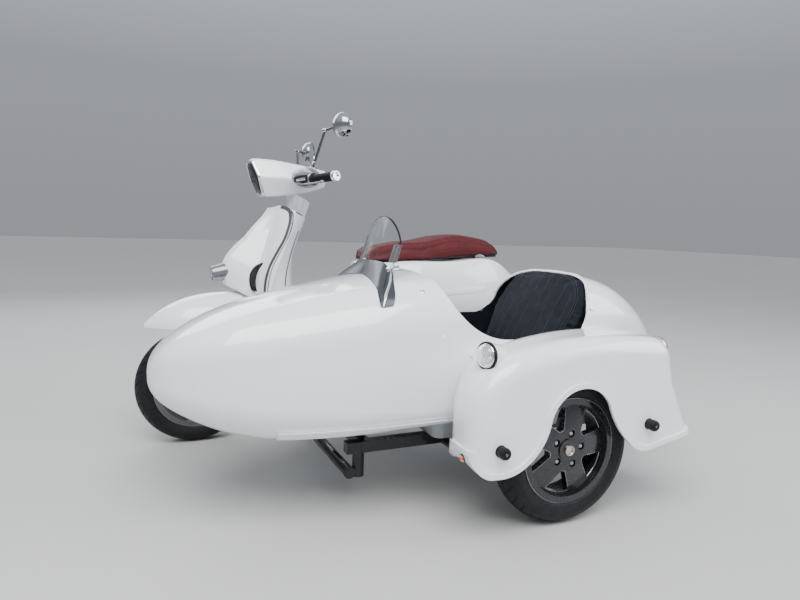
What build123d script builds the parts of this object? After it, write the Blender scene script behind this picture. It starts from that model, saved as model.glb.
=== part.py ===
from build123d import *
import os
from math import atan2, cos, degrees, radians, sin

os.makedirs("parts", exist_ok=True)

# Sidecar motorcycle in millimetres: a retro scooter with a sidecar on its left side.
# +X is forward, +Y is left, +Z is up, and the tyres stand on Z = 0.
# The tables below measure from a datum on the ground, under the front axle, on the scooter's centre plane.
FRONT_AXLE_X = 708  # the datum in the part's own frame
SCOOTER_Y = -427
DATUM = Plane(origin=(FRONT_AXLE_X, SCOOTER_Y, 0))


def level(height):
    """Horizontal plane, seen from above."""
    return DATUM.offset(height)


def upright(y):
    """Lengthways plane with x forward and y up; an extrusion goes to the right."""
    return Plane(origin=(FRONT_AXLE_X, SCOOTER_Y + y, 0), x_dir=(1, 0, 0), z_dir=(0, -1, 0))


def across(x):
    """Crossways plane with x to the left and y up; an extrusion goes forward."""
    return Plane(origin=(FRONT_AXLE_X + x, SCOOTER_Y, 0), x_dir=(0, 1, 0), z_dir=(1, 0, 0))


def between(start, end):
    """Plane at start whose normal points at end, and the distance between the two."""
    gap = Vector(end) - Vector(start)
    return Plane(origin=DATUM.from_local_coords(Vector(start)), z_dir=gap), gap.length


def rod(start, end, radius):
    """A round bar from start to end."""
    plane, length = between(start, end)
    with BuildPart() as bar:
        with BuildSketch(plane):
            Circle(radius)
        extrude(amount=length)
    return bar.part


# Wheels: 12 inch rims with bead seats of 304.8 mm
BEAD_RADIUS = 152.4
FLANGE_HEIGHT = 11
FLANGE_WIDTH = 5
WHEELBASE = 1340
TRACK = 1105.5  # from the scooter's centre plane to the sidecar wheel's
SIDE_WHEEL_X = -960
FRONT_TYRE_RADIUS = 229
REAR_TYRE_RADIUS = 236
SIDE_TYRE_RADIUS = 233.5
SHAFT_GAP = 0.05  # radial running fit of a spindle in its hub

# Steering: raked column with its foot ahead of the front axle
RAKE = 27
TRAIL = 80
COLUMN = Plane(
    origin=(FRONT_AXLE_X + TRAIL, SCOOTER_Y, 0),
    x_dir=(cos(radians(RAKE)), 0, sin(radians(RAKE))),
    z_dir=(-sin(radians(RAKE)), 0, cos(radians(RAKE))),
)
AXLE_AHEAD = FRONT_TYRE_RADIUS * sin(radians(RAKE)) - TRAIL * cos(radians(RAKE))
AXLE_UP = FRONT_TYRE_RADIUS * cos(radians(RAKE)) + TRAIL * sin(radians(RAKE))
LEG_Y = 83
SLIDER_RADIUS = 21
STANCHION_RADIUS = 15
YOKE_FOOT = 483  # heights along the column
YOKE_TOP = 511
STEM_RADIUS = 17
STEM_TOP = 1100
HEAD_TUBE_FOOT = 522
HEAD_TUBE_TOP = 1042
HEAD_TUBE_RADIUS = 26
NECK_FOOT = 1056
COLUMN_WAY = 32  # radius left free for the column through the bodywork

# Steel and plastic thicknesses
PANEL = 4
SHELL = 4
FENDER = 3

# Sidecar body: centre plane and sections from nose to tail
BODY_Y = 700
BODY_SECTIONS = (
    # x, half width, bottom, top, radius of the lower corners
    (203, 14, 430, 458, 9),
    (186, 66, 388, 509, 42),
    (130, 132, 345, 563, 76),
    (10, 205, 292, 626, 110),
    (-180, 262, 260, 680, 120),
    (-430, 293, 284, 731, 76),
    (-800, 299, 296, 756, 56),
    (-1150, 292, 300, 753, 56),
    (-1330, 262, 304, 720, 64),
    (-1500, 203, 322, 612, 76),
    (-1600, 125, 352, 518, 54),
    (-1645, 40, 400, 444, 14),
)
BODY_FLOOR = 300
BRACKET_THICK = 3


def body_section(half_width, bottom, top, corner, lower_corner):
    """One closed cross-section of the sidecar body: crowned top, full sides and flat floor."""
    height = top - bottom
    shoulder = top - 0.10 * height
    waist = bottom + 0.55 * height
    side = 0.95 * half_width
    with BuildSketch() as section:
        with BuildLine():
            ThreePointArc((-side, shoulder), (0, top), (side, shoulder))
            ThreePointArc((side, shoulder), (half_width, waist), (side, bottom))
            Line((side, bottom), (-side, bottom))
            ThreePointArc((-side, bottom), (-half_width, waist), (-side, shoulder))
        make_face()
        fillet(section.vertices().sort_by(Axis.Y)[:2], radius=lower_corner)
        fillet(section.vertices().sort_by(Axis.Y)[-2:], radius=corner)
    return section.sketch


def body_loft(grow):
    """Solid through the body's sections, each face moved outwards by grow."""
    with BuildPart() as body:
        for x, half_width, bottom, top, lower_corner in BODY_SECTIONS:
            end_shift = grow if x > 0 else -grow
            corner = 0.34 * min(2 * half_width, top - bottom)
            with BuildSketch(across(x + end_shift)):
                with Locations((BODY_Y, 0)):
                    add(body_section(half_width + grow, bottom - grow, top + grow, corner, lower_corner))
        loft()
    return body.part


body_outer = body_loft(0)
body_inner = body_loft(-SHELL)
body_skinned = body_loft(BRACKET_THICK)

# Cockpit opening in side view: down behind the cowl, along the sill and up the seat-back rim
SILL = 552
FLANGE_FRONT = -126  # rolled lip along the foot of the body's sides
FLANGE_REAR = -1330
FLANGE_FOOT = 282
FLANGE_TOP = 306
FLANGE_PROUD = 7
FLANGE_INNER = 200  # the underside is plain this far out from the middle


def lengthways_block(points):
    """Everything between the side-view points, right across the body."""
    with BuildPart() as block:
        with BuildSketch(upright(BODY_Y + 400)):
            with BuildLine():
                Polyline(*points, close=True)
            make_face()
        extrude(amount=800)
    return block.part


flange_zone = lengthways_block(
    (
        (FLANGE_FRONT, FLANGE_FOOT),
        (FLANGE_FRONT, FLANGE_TOP),
        (FLANGE_REAR, FLANGE_TOP + 14),
        (FLANGE_REAR, FLANGE_FOOT + 14),
    )
)
with BuildPart() as body_flange:
    add(body_loft(FLANGE_PROUD))
    add(flange_zone, mode=Mode.INTERSECT)
    with BuildSketch(level(FLANGE_FOOT - 20)):
        with Locations(((FLANGE_FRONT + FLANGE_REAR) / 2, BODY_Y)):
            Rectangle(FLANGE_FRONT - FLANGE_REAR + 20, 2 * FLANGE_INNER)
    extrude(amount=80, mode=Mode.SUBTRACT)

with BuildPart() as sidecar_shell:
    add(body_outer)
    add(body_flange.part)
    add(body_inner, mode=Mode.SUBTRACT)
    with BuildSketch(upright(BODY_Y + 400)):
        with BuildLine():
            Line((-1330, 900), (-560, 900))
            Line((-560, 900), (-612, 722))
            ThreePointArc((-612, 722), (-690, 603), (-830, SILL))
            Line((-830, SILL), (-1060, SILL))
            ThreePointArc((-1060, SILL), (-1116, 580), (-1146, 640))
            ThreePointArc((-1146, 640), (-1186, 712), (-1262, 760))
            Line((-1262, 760), (-1330, 900))
        make_face()
    extrude(amount=800, mode=Mode.SUBTRACT)
sidecar_shell.part.label = "sidecar_shell"
export_step(sidecar_shell.part, "parts/sidecar_shell.step")

# Seat pan under the body, standing on the chassis rails
PAN_FRONT = -640
PAN_REAR = -1180
PAN_HALF = 176
PAN_TAPER = 12
RAIL_TOP = 205
with BuildPart() as sidecar_floor:
    with BuildSketch(level(BODY_FLOOR)):
        with Locations(((PAN_FRONT + PAN_REAR) / 2, BODY_Y)):
            RectangleRounded(PAN_FRONT - PAN_REAR, 2 * PAN_HALF, 50)
    extrude(amount=RAIL_TOP - BODY_FLOOR, taper=PAN_TAPER)
    with BuildSketch(level(BODY_FLOOR)):
        with Locations(((PAN_FRONT + PAN_REAR) / 2, BODY_Y)):
            RectangleRounded(PAN_FRONT - PAN_REAR - 2 * SHELL, 2 * PAN_HALF - 2 * SHELL, 46)
    extrude(amount=RAIL_TOP + SHELL - BODY_FLOOR, taper=PAN_TAPER, mode=Mode.SUBTRACT)
    add(body_outer, mode=Mode.SUBTRACT)
sidecar_floor.part.label = "sidecar_floor"
export_step(sidecar_floor.part, "parts/sidecar_floor.step")

# Soft seat and backrest of the sidecar
SEAT_TOP = 408
with BuildPart() as sidecar_seat:
    with BuildSketch(upright(BODY_Y)):
        with BuildLine():
            Polyline(
                (-766, BODY_FLOOR),
                (-766, SEAT_TOP),
                (-1072, SEAT_TOP - 22),
                (-1030, BODY_FLOOR),
                close=True,
            )
        make_face()
    extrude(amount=222, both=True)
    fillet(sidecar_seat.edges().filter_by(Axis.Y).sort_by(Axis.Z)[-2:], radius=24)
    add(body_inner, mode=Mode.INTERSECT)
sidecar_seat.part.label = "sidecar_seat"
export_step(sidecar_seat.part, "parts/sidecar_seat.step")

BACK_LEAN = 28
BACK_FOOT = (-1072, 385)
BACK_LENGTH = 412
BACK_HALF = 252
back_plane = Plane(
    origin=(FRONT_AXLE_X + BACK_FOOT[0], SCOOTER_Y + BODY_Y, BACK_FOOT[1]),
    x_dir=(0, 1, 0),
    z_dir=(cos(radians(BACK_LEAN)), 0, sin(radians(BACK_LEAN))),
)
with BuildPart() as sidecar_backrest:
    with BuildSketch(back_plane):
        with BuildLine():
            Line((-205, 0), (205, 0))
            Line((205, 0), (BACK_HALF, 190))
            ThreePointArc((BACK_HALF, 190), (172, 356), (0, BACK_LENGTH))
            ThreePointArc((0, BACK_LENGTH), (-172, 356), (-BACK_HALF, 190))
            Line((-BACK_HALF, 190), (-205, 0))
        make_face()
    extrude(amount=62)
    add(body_inner, mode=Mode.INTERSECT)
    add(sidecar_seat.part, mode=Mode.SUBTRACT)
sidecar_backrest.part.label = "sidecar_backrest"
export_step(sidecar_backrest.part, "parts/sidecar_backrest.step")

# Sidecar mudguard: side profiles from the body out to the flat side, hollowed and cut for the wheel
GUARD_OUTER = 1200
GUARD_INNER = 982
GUARD_FOOT = 180
GUARD_SECTIONS = (
    # y, how far the nose is set back, how far the crest and tail are set in
    (GUARD_INNER, 96, 14),
    (1012, 46, 3),
    (1072, 4, 0),
    (1140, 0, 0),
    (1172, 8, 8),
    (1191, 25, 25),
    (GUARD_OUTER, 54, 54),
)
BEAD_WIDTH = 15
BEAD_PROUD = 6


def guard_profile(nose_inset, inset, foot):
    """Side profile of the mudguard: upright nose, arched crest and a flared tail."""
    nose, nose_top = -598 - nose_inset, 503 - inset
    rear, rear_top = -1316 + inset, 561 - inset
    with BuildSketch() as side:
        with BuildLine():
            Line((nose, foot), (nose, nose_top))
            ThreePointArc((nose, nose_top), (-980, 578 - inset), (rear, rear_top))
            Line((rear, rear_top), (-1340 + inset, 430))
            Line((-1340 + inset, 430), (-1432 + inset, 240))
            Line((-1432 + inset, 240), (-1432 + inset, foot))
            Line((-1432 + inset, foot), (nose, foot))
        make_face()
        fillet(side.vertices().sort_by_distance((nose, nose_top, 0))[0], radius=190 - nose_inset)
        fillet(side.vertices().sort_by_distance((rear, rear_top, 0))[0], radius=72 - inset)
        fillet(side.vertices().sort_by_distance((-1340 + inset, 430, 0))[0], radius=170)
    return side.sketch


def guard_block(inset, foot):
    """Solid of the mudguard's outer form, each face moved inwards by inset."""
    middle = (GUARD_INNER + GUARD_OUTER) / 2
    with BuildPart() as block:
        for y, nose_inset, crest_inset in GUARD_SECTIONS:
            side_shift = inset if y < middle else -inset
            with BuildSketch(upright(y + side_shift)):
                add(guard_profile(nose_inset + inset, crest_inset + inset, foot))
        loft()
    return block.part


guard_outer = guard_block(0, GUARD_FOOT)


def wheel_arch(grow):
    """The skirt's lower line and the wheel arch, with everything below them."""
    with BuildSketch() as arch:
        with BuildLine():
            Line((-480, 60), (-480, 268))
            Line((-480, 268), (-596, 268))
            ThreePointArc((-596, 268), (-616, 222), (-662, 206))
            ThreePointArc((-662, 206), (-712, 207), (-766, 230))
            ThreePointArc((-766, 230), (-818, 283), (-843, 345))
            ThreePointArc((-843, 345), (-952, 439), (-1056, 380))
            ThreePointArc((-1056, 380), (-1098, 302), (-1146, 250))
            ThreePointArc((-1146, 250), (-1182, 227), (-1230, 222))
            Line((-1230, 222), (-1410, 256))
            Line((-1410, 256), (-1560, 284))
            Line((-1560, 284), (-1560, 60))
            Line((-1560, 60), (-480, 60))
        make_face()
        if grow:
            offset(amount=grow)
    return arch.sketch


with BuildPart() as guard_bead:
    with BuildSketch(upright(GUARD_OUTER + 20)):
        add(wheel_arch(BEAD_WIDTH))
    extrude(amount=GUARD_OUTER + 20 - 1020)
    add(guard_block(-BEAD_PROUD, GUARD_FOOT), mode=Mode.INTERSECT)

with BuildPart() as sidecar_mudguard:
    add(guard_outer)
    add(guard_bead.part)
    add(guard_block(FENDER, GUARD_FOOT - 30), mode=Mode.SUBTRACT)
    with BuildSketch(upright(GUARD_OUTER + 20)):
        add(wheel_arch(0))
    extrude(amount=400, mode=Mode.SUBTRACT)
    # open towards the body, with a lip left round the edge
    with BuildSketch(upright(GUARD_INNER + 46)):
        with BuildLine():
            Polyline(
                (-690, 100),
                (-690, 430),
                (-810, 516),
                (-1250, 516),
                (-1290, 440),
                (-1310, 100),
                close=True,
            )
        make_face()
    extrude(amount=120, mode=Mode.SUBTRACT)
    add(body_outer, mode=Mode.SUBTRACT)
    add(body_flange.part, mode=Mode.SUBTRACT)
sidecar_mudguard.part.label = "sidecar_mudguard"
export_step(sidecar_mudguard.part, "parts/sidecar_mudguard.step")

# Windscreen: a curved clear sheet on a bent steel plate that saddles the cowl
SCREEN_LEAN = 18
SCREEN_FOOT = (-459, 745)
SCREEN_CURVE = 420
SCREEN_THICK = 4
SCREEN_HALF = 141
SCREEN_TOP = 922
BRACKET_TOP = 778
BRACKET_FRONT = -438
BRACKET_REAR = -458
BRACKET_FOOT = 648
LEG_TOP = (-486, 146, 764)
LEG_FOOT = (-440, 216, 650)
screen_plane = Plane(
    origin=(FRONT_AXLE_X + SCREEN_FOOT[0], SCOOTER_Y + BODY_Y, SCREEN_FOOT[1]),
    x_dir=(0, 1, 0),
    z_dir=(-sin(radians(SCREEN_LEAN)), 0, cos(radians(SCREEN_LEAN))),
)


def screen_wall(radius, thickness):
    """Leaning tube wall that the windscreen and its plate are cut from."""
    with BuildPart() as wall:
        with BuildSketch(screen_plane.offset(-110)):
            with Locations((0, SCREEN_CURVE)):
                Circle(radius)
                Circle(radius - thickness, mode=Mode.SUBTRACT)
        extrude(amount=320)
    return wall.part


with BuildPart() as saddle:
    add(body_skinned)
    add(
        lengthways_block(
            (
                (BRACKET_FRONT, BRACKET_FOOT),
                (BRACKET_FRONT, 800),
                (BRACKET_REAR, 800),
                (BRACKET_REAR, BRACKET_FOOT),
            )
        ),
        mode=Mode.INTERSECT,
    )

with BuildPart() as screen_bracket:
    add(screen_wall(SCREEN_CURVE + BRACKET_THICK + 0.5, BRACKET_THICK))
    with BuildSketch(across(-1000)):
        with BuildLine():
            Polyline(
                (BODY_Y - SCREEN_HALF - 74, BRACKET_FOOT + 20),
                (BODY_Y - SCREEN_HALF - 4, BRACKET_TOP),
                (BODY_Y + SCREEN_HALF + 4, BRACKET_TOP),
                (BODY_Y + SCREEN_HALF + 74, BRACKET_FOOT + 20),
                close=True,
            )
        make_face()
    extrude(amount=640, mode=Mode.INTERSECT)
    add(saddle.part)
    for side in (1, -1):
        leg_top = (LEG_TOP[0], BODY_Y + side * LEG_TOP[1], LEG_TOP[2])
        leg_foot = (LEG_FOOT[0], BODY_Y + side * LEG_FOOT[1], LEG_FOOT[2])
        leg_plane, leg_length = between(leg_top, leg_foot)
        with BuildSketch(Plane(origin=leg_plane.origin, x_dir=(1, 0, 0.4), z_dir=leg_plane.z_dir)):
            with Locations((-10, 0)):
                Rectangle(36, BRACKET_THICK)
        extrude(amount=leg_length)
    add(body_outer, mode=Mode.SUBTRACT)
screen_bracket.part.label = "screen_bracket"
export_step(screen_bracket.part, "parts/screen_bracket.step")

with BuildPart() as windscreen:
    add(screen_wall(SCREEN_CURVE, SCREEN_THICK))
    with BuildSketch(across(-1000)):
        with BuildLine():
            Line((BODY_Y - SCREEN_HALF, BRACKET_TOP - 34), (BODY_Y + SCREEN_HALF, BRACKET_TOP - 34))
            Line((BODY_Y + SCREEN_HALF, BRACKET_TOP - 34), (BODY_Y + SCREEN_HALF, SCREEN_TOP - 78))
            ThreePointArc(
                (BODY_Y + SCREEN_HALF, SCREEN_TOP - 78),
                (BODY_Y, SCREEN_TOP),
                (BODY_Y - SCREEN_HALF, SCREEN_TOP - 78),
            )
            Line((BODY_Y - SCREEN_HALF, SCREEN_TOP - 78), (BODY_Y - SCREEN_HALF, BRACKET_TOP - 34))
        make_face()
    extrude(amount=590, mode=Mode.INTERSECT)
    add(screen_bracket.part, mode=Mode.SUBTRACT)
    add(body_skinned, mode=Mode.SUBTRACT)
windscreen.part.label = "windscreen"
export_step(windscreen.part, "parts/windscreen.step")

# Sidecar lamp and bumpers
LAMP_RADIUS = 38
LAMP_SOCKET = 30
with BuildPart() as sidecar_lamp:
    lamp_plane, lamp_depth = between((-700, 1112, 536), (-650, 1123, 540))
    with BuildSketch(lamp_plane):
        Circle(LAMP_SOCKET)
    with BuildSketch(lamp_plane.offset(lamp_depth - 10)):
        Circle(LAMP_RADIUS)
    loft()
    with BuildSketch(lamp_plane.offset(lamp_depth - 10)):
        Circle(LAMP_RADIUS)
    extrude(amount=10 + 22)
    fillet(sidecar_lamp.edges().sort_by(Axis.X)[-1], radius=20)
    add(guard_outer, mode=Mode.SUBTRACT)
sidecar_lamp.part.label = "sidecar_lamp"
export_step(sidecar_lamp.part, "parts/sidecar_lamp.step")

with BuildPart() as rubber_buffers:
    for x, z in ((-678, 284), (-1222, 305)):
        add(rod((x, GUARD_OUTER, z), (x, GUARD_OUTER + 12, z), 17))
        add(rod((x, GUARD_OUTER + 12, z), (x, GUARD_OUTER + 32, z), 10))
rubber_buffers.part.label = "rubber_buffers"
export_step(rubber_buffers.part, "parts/rubber_buffers.step")

# Sidecar chassis
RAIL = 36
RAIL_INNER_Y = 560
RAIL_OUTER_Y = 784
RAIL_FRONT = -374
RAIL_REAR = -1380
FRONT_TUBE = (-386, 106)  # x, height of the low tube to the scooter
REAR_TUBE = (-770, 165)
TUBE_RADIUS = 19
PIVOT_X = -730
ARM_Y = 990
FRAME_TUBE = 22
FRAME_FLOOR = 238

with BuildPart() as scooter_frame:
    with BuildSketch(COLUMN.offset(HEAD_TUBE_FOOT)):
        Circle(HEAD_TUBE_RADIUS)
    extrude(amount=HEAD_TUBE_TOP - HEAD_TUBE_FOOT)
    with BuildLine(DATUM) as spine:
        FilletPolyline(
            (-262, 0, 672),
            (-318, 0, 560),
            (-330, 0, FRAME_FLOOR),
            (-762, 0, FRAME_FLOOR),
            radius=60,
        )
    with BuildSketch(Plane(origin=spine.line @ 0, z_dir=spine.line % 0)):
        Circle(FRAME_TUBE)
    sweep(path=spine.line)
    add(rod((-748, -132, FRAME_FLOOR), (-748, 132, FRAME_FLOOR), 18))
    for y in (-124, 124):
        with BuildLine(DATUM) as seat_rail:
            FilletPolyline((-748, y, FRAME_FLOOR), (-838, y, 500), (-1420, y, 632), radius=60)
        with BuildSketch(Plane(origin=seat_rail.line @ 0, z_dir=seat_rail.line % 0)):
            Circle(14)
        sweep(path=seat_rail.line)
    add(rod((-850, -124, 502), (-850, 124, 502), 12))
    add(rod((-1380, -124, 623), (-1380, 124, 623), 12))
    with BuildSketch(COLUMN.offset(HEAD_TUBE_FOOT)):
        Circle(STEM_RADIUS + SHAFT_GAP)
    extrude(amount=HEAD_TUBE_TOP - HEAD_TUBE_FOOT, mode=Mode.SUBTRACT)
scooter_frame.part.label = "scooter_frame"
export_step(scooter_frame.part, "parts/scooter_frame.step")

with BuildPart() as sidecar_frame:
    for y in (RAIL_INNER_Y, RAIL_OUTER_Y):
        with BuildSketch(level(RAIL_TOP - RAIL)):
            with Locations(((RAIL_FRONT + RAIL_REAR) / 2, y)):
                Rectangle(RAIL_FRONT - RAIL_REAR, RAIL)
        extrude(amount=RAIL)
    for x in (-440, -1300):
        with BuildSketch(level(RAIL_TOP - RAIL)):
            with Locations((x, (RAIL_INNER_Y + RAIL_OUTER_Y) / 2)):
                Rectangle(RAIL, RAIL_OUTER_Y - RAIL_INNER_Y)
        extrude(amount=RAIL)
    front_end = (FRONT_TUBE[0], RAIL_OUTER_Y + 14, FRONT_TUBE[1])
    add(rod((FRONT_TUBE[0], 0, FRONT_TUBE[1]), front_end, TUBE_RADIUS))
    add(rod((FRONT_TUBE[0], 0, FRONT_TUBE[1]), (FRONT_TUBE[0], 0, FRAME_FLOOR), TUBE_RADIUS))
    post_x = FRONT_TUBE[0] - 32
    add(rod((post_x, RAIL_OUTER_Y, 90), (post_x, RAIL_OUTER_Y, RAIL_TOP - 10), TUBE_RADIUS))
    # blocks that carry the body ahead of and behind the pan
    for x, floor in ((-440, 290), (-1300, 309)):
        with BuildSketch(level(RAIL_TOP)):
            with Locations((x, (RAIL_INNER_Y + RAIL_OUTER_Y) / 2)):
                Rectangle(RAIL, 120)
        extrude(amount=floor - RAIL_TOP)
    add(rod((REAR_TUBE[0], 0, REAR_TUBE[1]), (REAR_TUBE[0], RAIL_OUTER_Y, REAR_TUBE[1]), TUBE_RADIUS))
    add(rod((REAR_TUBE[0], 0, REAR_TUBE[1]), (REAR_TUBE[0], 0, FRAME_FLOOR), TUBE_RADIUS))
    add(rod((-790, 124, 345), (-820, RAIL_INNER_Y, RAIL_TOP - 24), 13))
    add(rod((PIVOT_X, RAIL_INNER_Y, RAIL_TOP - 24), (PIVOT_X, ARM_Y - 14, RAIL_TOP - 24), 23))
    add(scooter_frame.part, mode=Mode.SUBTRACT)
    add(body_outer, mode=Mode.SUBTRACT)
sidecar_frame.part.label = "sidecar_frame"
export_step(sidecar_frame.part, "parts/sidecar_frame.step")

SIDE_SPINDLE = 10
with BuildPart() as sidecar_axle:
    with BuildSketch(upright(ARM_Y + 14)):
        with Locations((PIVOT_X, RAIL_TOP - 24)):
            Circle(34)
        with Locations((SIDE_WHEEL_X, SIDE_TYRE_RADIUS)):
            Circle(34)
        make_hull()
    extrude(amount=28)
    axle_end = (SIDE_WHEEL_X, TRACK + 20, SIDE_TYRE_RADIUS)
    add(rod((SIDE_WHEEL_X, ARM_Y, SIDE_TYRE_RADIUS), axle_end, SIDE_SPINDLE))
    add(rod((SIDE_WHEEL_X, ARM_Y, SIDE_TYRE_RADIUS), (SIDE_WHEEL_X, ARM_Y + 26, SIDE_TYRE_RADIUS), 26))
sidecar_axle.part.label = "sidecar_axle"
export_step(sidecar_axle.part, "parts/sidecar_axle.step")

# Wheels: tyre and rim of each
FRONT_SPINDLE = 8
REAR_SPINDLE = 9
WHEELS = (
    # name, axle x, centre y, tyre radius, tyre width, spindle radius, hub half width
    ("front", 0, 0, FRONT_TYRE_RADIUS, 110, FRONT_SPINDLE, 45),
    ("rear", -WHEELBASE, 0, REAR_TYRE_RADIUS, 120, REAR_SPINDLE, 50),
    ("side", SIDE_WHEEL_X, TRACK, SIDE_TYRE_RADIUS, 112, SIDE_SPINDLE, 42),
)
DRUM_SLOTS = 18
SIDE_SPOKES = 5
SPOKE_TURN = 12  # how far the first spoke stands from upright, towards the rear
NUT_CIRCLE = 50


def wheel_window():
    """Three-sided opening between two spokes, its narrow end to the hub."""
    with BuildSketch() as window:
        with BuildLine():
            Line((68, -9), (126, -44))
            ThreePointArc((126, -44), (134, 0), (126, 44))
            Line((126, 44), (68, 9))
            Line((68, 9), (68, -9))
        make_face()
        fillet(window.vertices(), radius=6)
    return window.sketch


for wheel, x, y, radius, width, spindle, hub_half in WHEELS:
    hub = Plane(origin=DATUM.from_local_coords(Vector(x, y, radius)), x_dir=(0, 1, 0), z_dir=(1, 0, 0))
    face_on = Plane(origin=hub.origin, x_dir=(1, 0, 0), z_dir=(0, -1, 0))
    spin = Axis(hub.origin, (0, 1, 0))
    bead = width / 2 - 13
    flange = BEAD_RADIUS + FLANGE_HEIGHT
    wall = radius - BEAD_RADIUS
    shoulder = (0.44 * width, radius - 0.24 * wall)
    with BuildPart() as tyre:
        with BuildSketch(hub):
            with BuildLine():
                Polyline((bead, flange), (bead, BEAD_RADIUS), (-bead, BEAD_RADIUS), (-bead, flange))
                ThreePointArc((bead, flange), (width / 2, radius - 0.52 * wall), shoulder)
                ThreePointArc(shoulder, (0, radius), (-shoulder[0], shoulder[1]))
                near_shoulder = (-shoulder[0], shoulder[1])
                ThreePointArc(near_shoulder, (-width / 2, radius - 0.52 * wall), (-bead, flange))
            make_face()
        revolve(axis=spin)
    tyre.part.label = f"{wheel}_tyre"
    export_step(tyre.part, f"parts/{wheel}_tyre.step")

    lip = bead + FLANGE_WIDTH
    well = BEAD_RADIUS - 9
    with BuildPart() as rim:
        with BuildSketch(hub):
            with BuildLine():
                Polyline(
                    (-lip, well),
                    (-lip, flange),
                    (-bead, flange),
                    (-bead, BEAD_RADIUS),
                    (bead, BEAD_RADIUS),
                    (bead, flange),
                    (lip, flange),
                    (lip, well),
                    close=True,
                )
            make_face()
        revolve(axis=spin)
        with BuildSketch(face_on):
            Circle(34)
        extrude(amount=hub_half, both=True)
        if wheel == "side":
            with BuildSketch(hub):
                with BuildLine():
                    Polyline((12, 0), (38, 0), (38, 66), (27, well + 2), (7, well + 2), (12, 66), close=True)
                make_face()
            revolve(axis=spin)
            with BuildSketch(face_on.offset(-60)):
                with PolarLocations(0, SIDE_SPOKES, start_angle=90 + SPOKE_TURN + 180 / SIDE_SPOKES):
                    add(wheel_window())
            extrude(amount=120, mode=Mode.SUBTRACT)
            # seats of the wheel nuts, sunk into the hub's outer face
            with BuildSketch(face_on.offset(-hub_half)):
                with PolarLocations(NUT_CIRCLE, SIDE_SPOKES, start_angle=90 + SPOKE_TURN):
                    Circle(12)
            extrude(amount=14, mode=Mode.SUBTRACT)
        else:
            with BuildSketch(face_on):
                Circle(well + 2)
                with PolarLocations(112, DRUM_SLOTS):
                    Rectangle(44, 13, mode=Mode.SUBTRACT)
            extrude(amount=7, both=True)
        with BuildSketch(face_on):
            Circle(spindle + SHAFT_GAP)
        extrude(amount=hub_half, both=True, mode=Mode.SUBTRACT)
    rim.part.label = f"{wheel}_rim"
    export_step(rim.part, f"parts/{wheel}_rim.step")

# Fork with its stem and front spindle
with BuildPart() as fork:
    with BuildSketch(COLUMN.offset(YOKE_FOOT)):
        with Locations((AXLE_AHEAD, 0)):
            SlotCenterToCenter(2 * LEG_Y, 42, rotation=90)
        Circle(28)
    extrude(amount=YOKE_TOP - YOKE_FOOT)
    with BuildSketch(COLUMN.offset(YOKE_TOP)):
        Circle(STEM_RADIUS)
    extrude(amount=STEM_TOP - YOKE_TOP)
    for y in (-LEG_Y, LEG_Y):
        with BuildSketch(COLUMN.offset(AXLE_UP - 24)):
            with Locations((AXLE_AHEAD, y)):
                Circle(SLIDER_RADIUS)
        extrude(amount=170)
        with BuildSketch(COLUMN.offset(AXLE_UP)):
            with Locations((AXLE_AHEAD, y)):
                Circle(STANCHION_RADIUS)
        extrude(amount=YOKE_FOOT - AXLE_UP)
    spindle_end = LEG_Y + 16
    add(rod((0, -spindle_end, FRONT_TYRE_RADIUS), (0, spindle_end, FRONT_TYRE_RADIUS), FRONT_SPINDLE))
fork.part.label = "fork"
export_step(fork.part, "parts/fork.step")

# Headset: lamp nacelle, handlebar cover and neck
HEADSET_SECTIONS = (
    # x, half width at the vertices, half width above and below, bottom, top
    (-200, 90, 54, 997, 1141),
    (-300, 92, 58, 997, 1141),
    (-400, 92, 60, 1010, 1130),
    (-515, 78, 56, 1044, 1112),
)
with BuildPart() as headset:
    for x, wide, narrow, bottom, top in HEADSET_SECTIONS:
        middle = (bottom + top) / 2
        with BuildSketch(across(x)) as lamp_section:
            with BuildLine():
                Polyline(
                    (-wide, middle),
                    (-narrow, top),
                    (narrow, top),
                    (wide, middle),
                    (narrow, bottom),
                    (-narrow, bottom),
                    close=True,
                )
            make_face()
            fillet(lamp_section.vertices(), radius=14)
    loft()
    with BuildSketch(upright(125)):
        with Locations((-425, 1077)):
            Ellipse(58, 40)
    extrude(amount=250)
    with BuildSketch(COLUMN.offset(NECK_FOOT)):
        with Locations((-8, 0)):
            Ellipse(44, 40)
    with BuildSketch(COLUMN.offset(NECK_FOOT + 60)):
        with Locations((12, 0)):
            Ellipse(56, 56)
    loft()
    # slanted lamp opening
    with BuildSketch(upright(200)):
        with BuildLine():
            Polyline(
                (-216, 1160),
                (-216, 1140),
                (-267, 999),
                (-274, 980),
                (-150, 980),
                (-150, 1160),
                close=True,
            )
        make_face()
    extrude(amount=400, mode=Mode.SUBTRACT)
    with BuildSketch(COLUMN.offset(NECK_FOOT)):
        Circle(STEM_RADIUS)
    extrude(amount=STEM_TOP - NECK_FOOT, mode=Mode.SUBTRACT)
headset.part.label = "headset"
export_step(headset.part, "parts/headset.step")

LAMP_LEAN = degrees(atan2(267 - 216, 1140 - 999))
lamp_face = Plane(
    origin=(FRONT_AXLE_X - 241.5, SCOOTER_Y, 1069.5),
    x_dir=(0, 1, 0),
    z_dir=(cos(radians(LAMP_LEAN)), 0, -sin(radians(LAMP_LEAN))),
)


def hexagon(grow):
    """Outline of the headlamp, grown outwards."""
    with BuildSketch() as outline:
        with BuildLine():
            Polyline(
                (-84 - grow, 0),
                (-50 - 0.6 * grow, 68 + grow),
                (50 + 0.6 * grow, 68 + grow),
                (84 + grow, 0),
                (50 + 0.6 * grow, -68 - grow),
                (-50 - 0.6 * grow, -68 - grow),
                close=True,
            )
        make_face()
        fillet(outline.vertices(), radius=10)
    return outline.sketch


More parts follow.
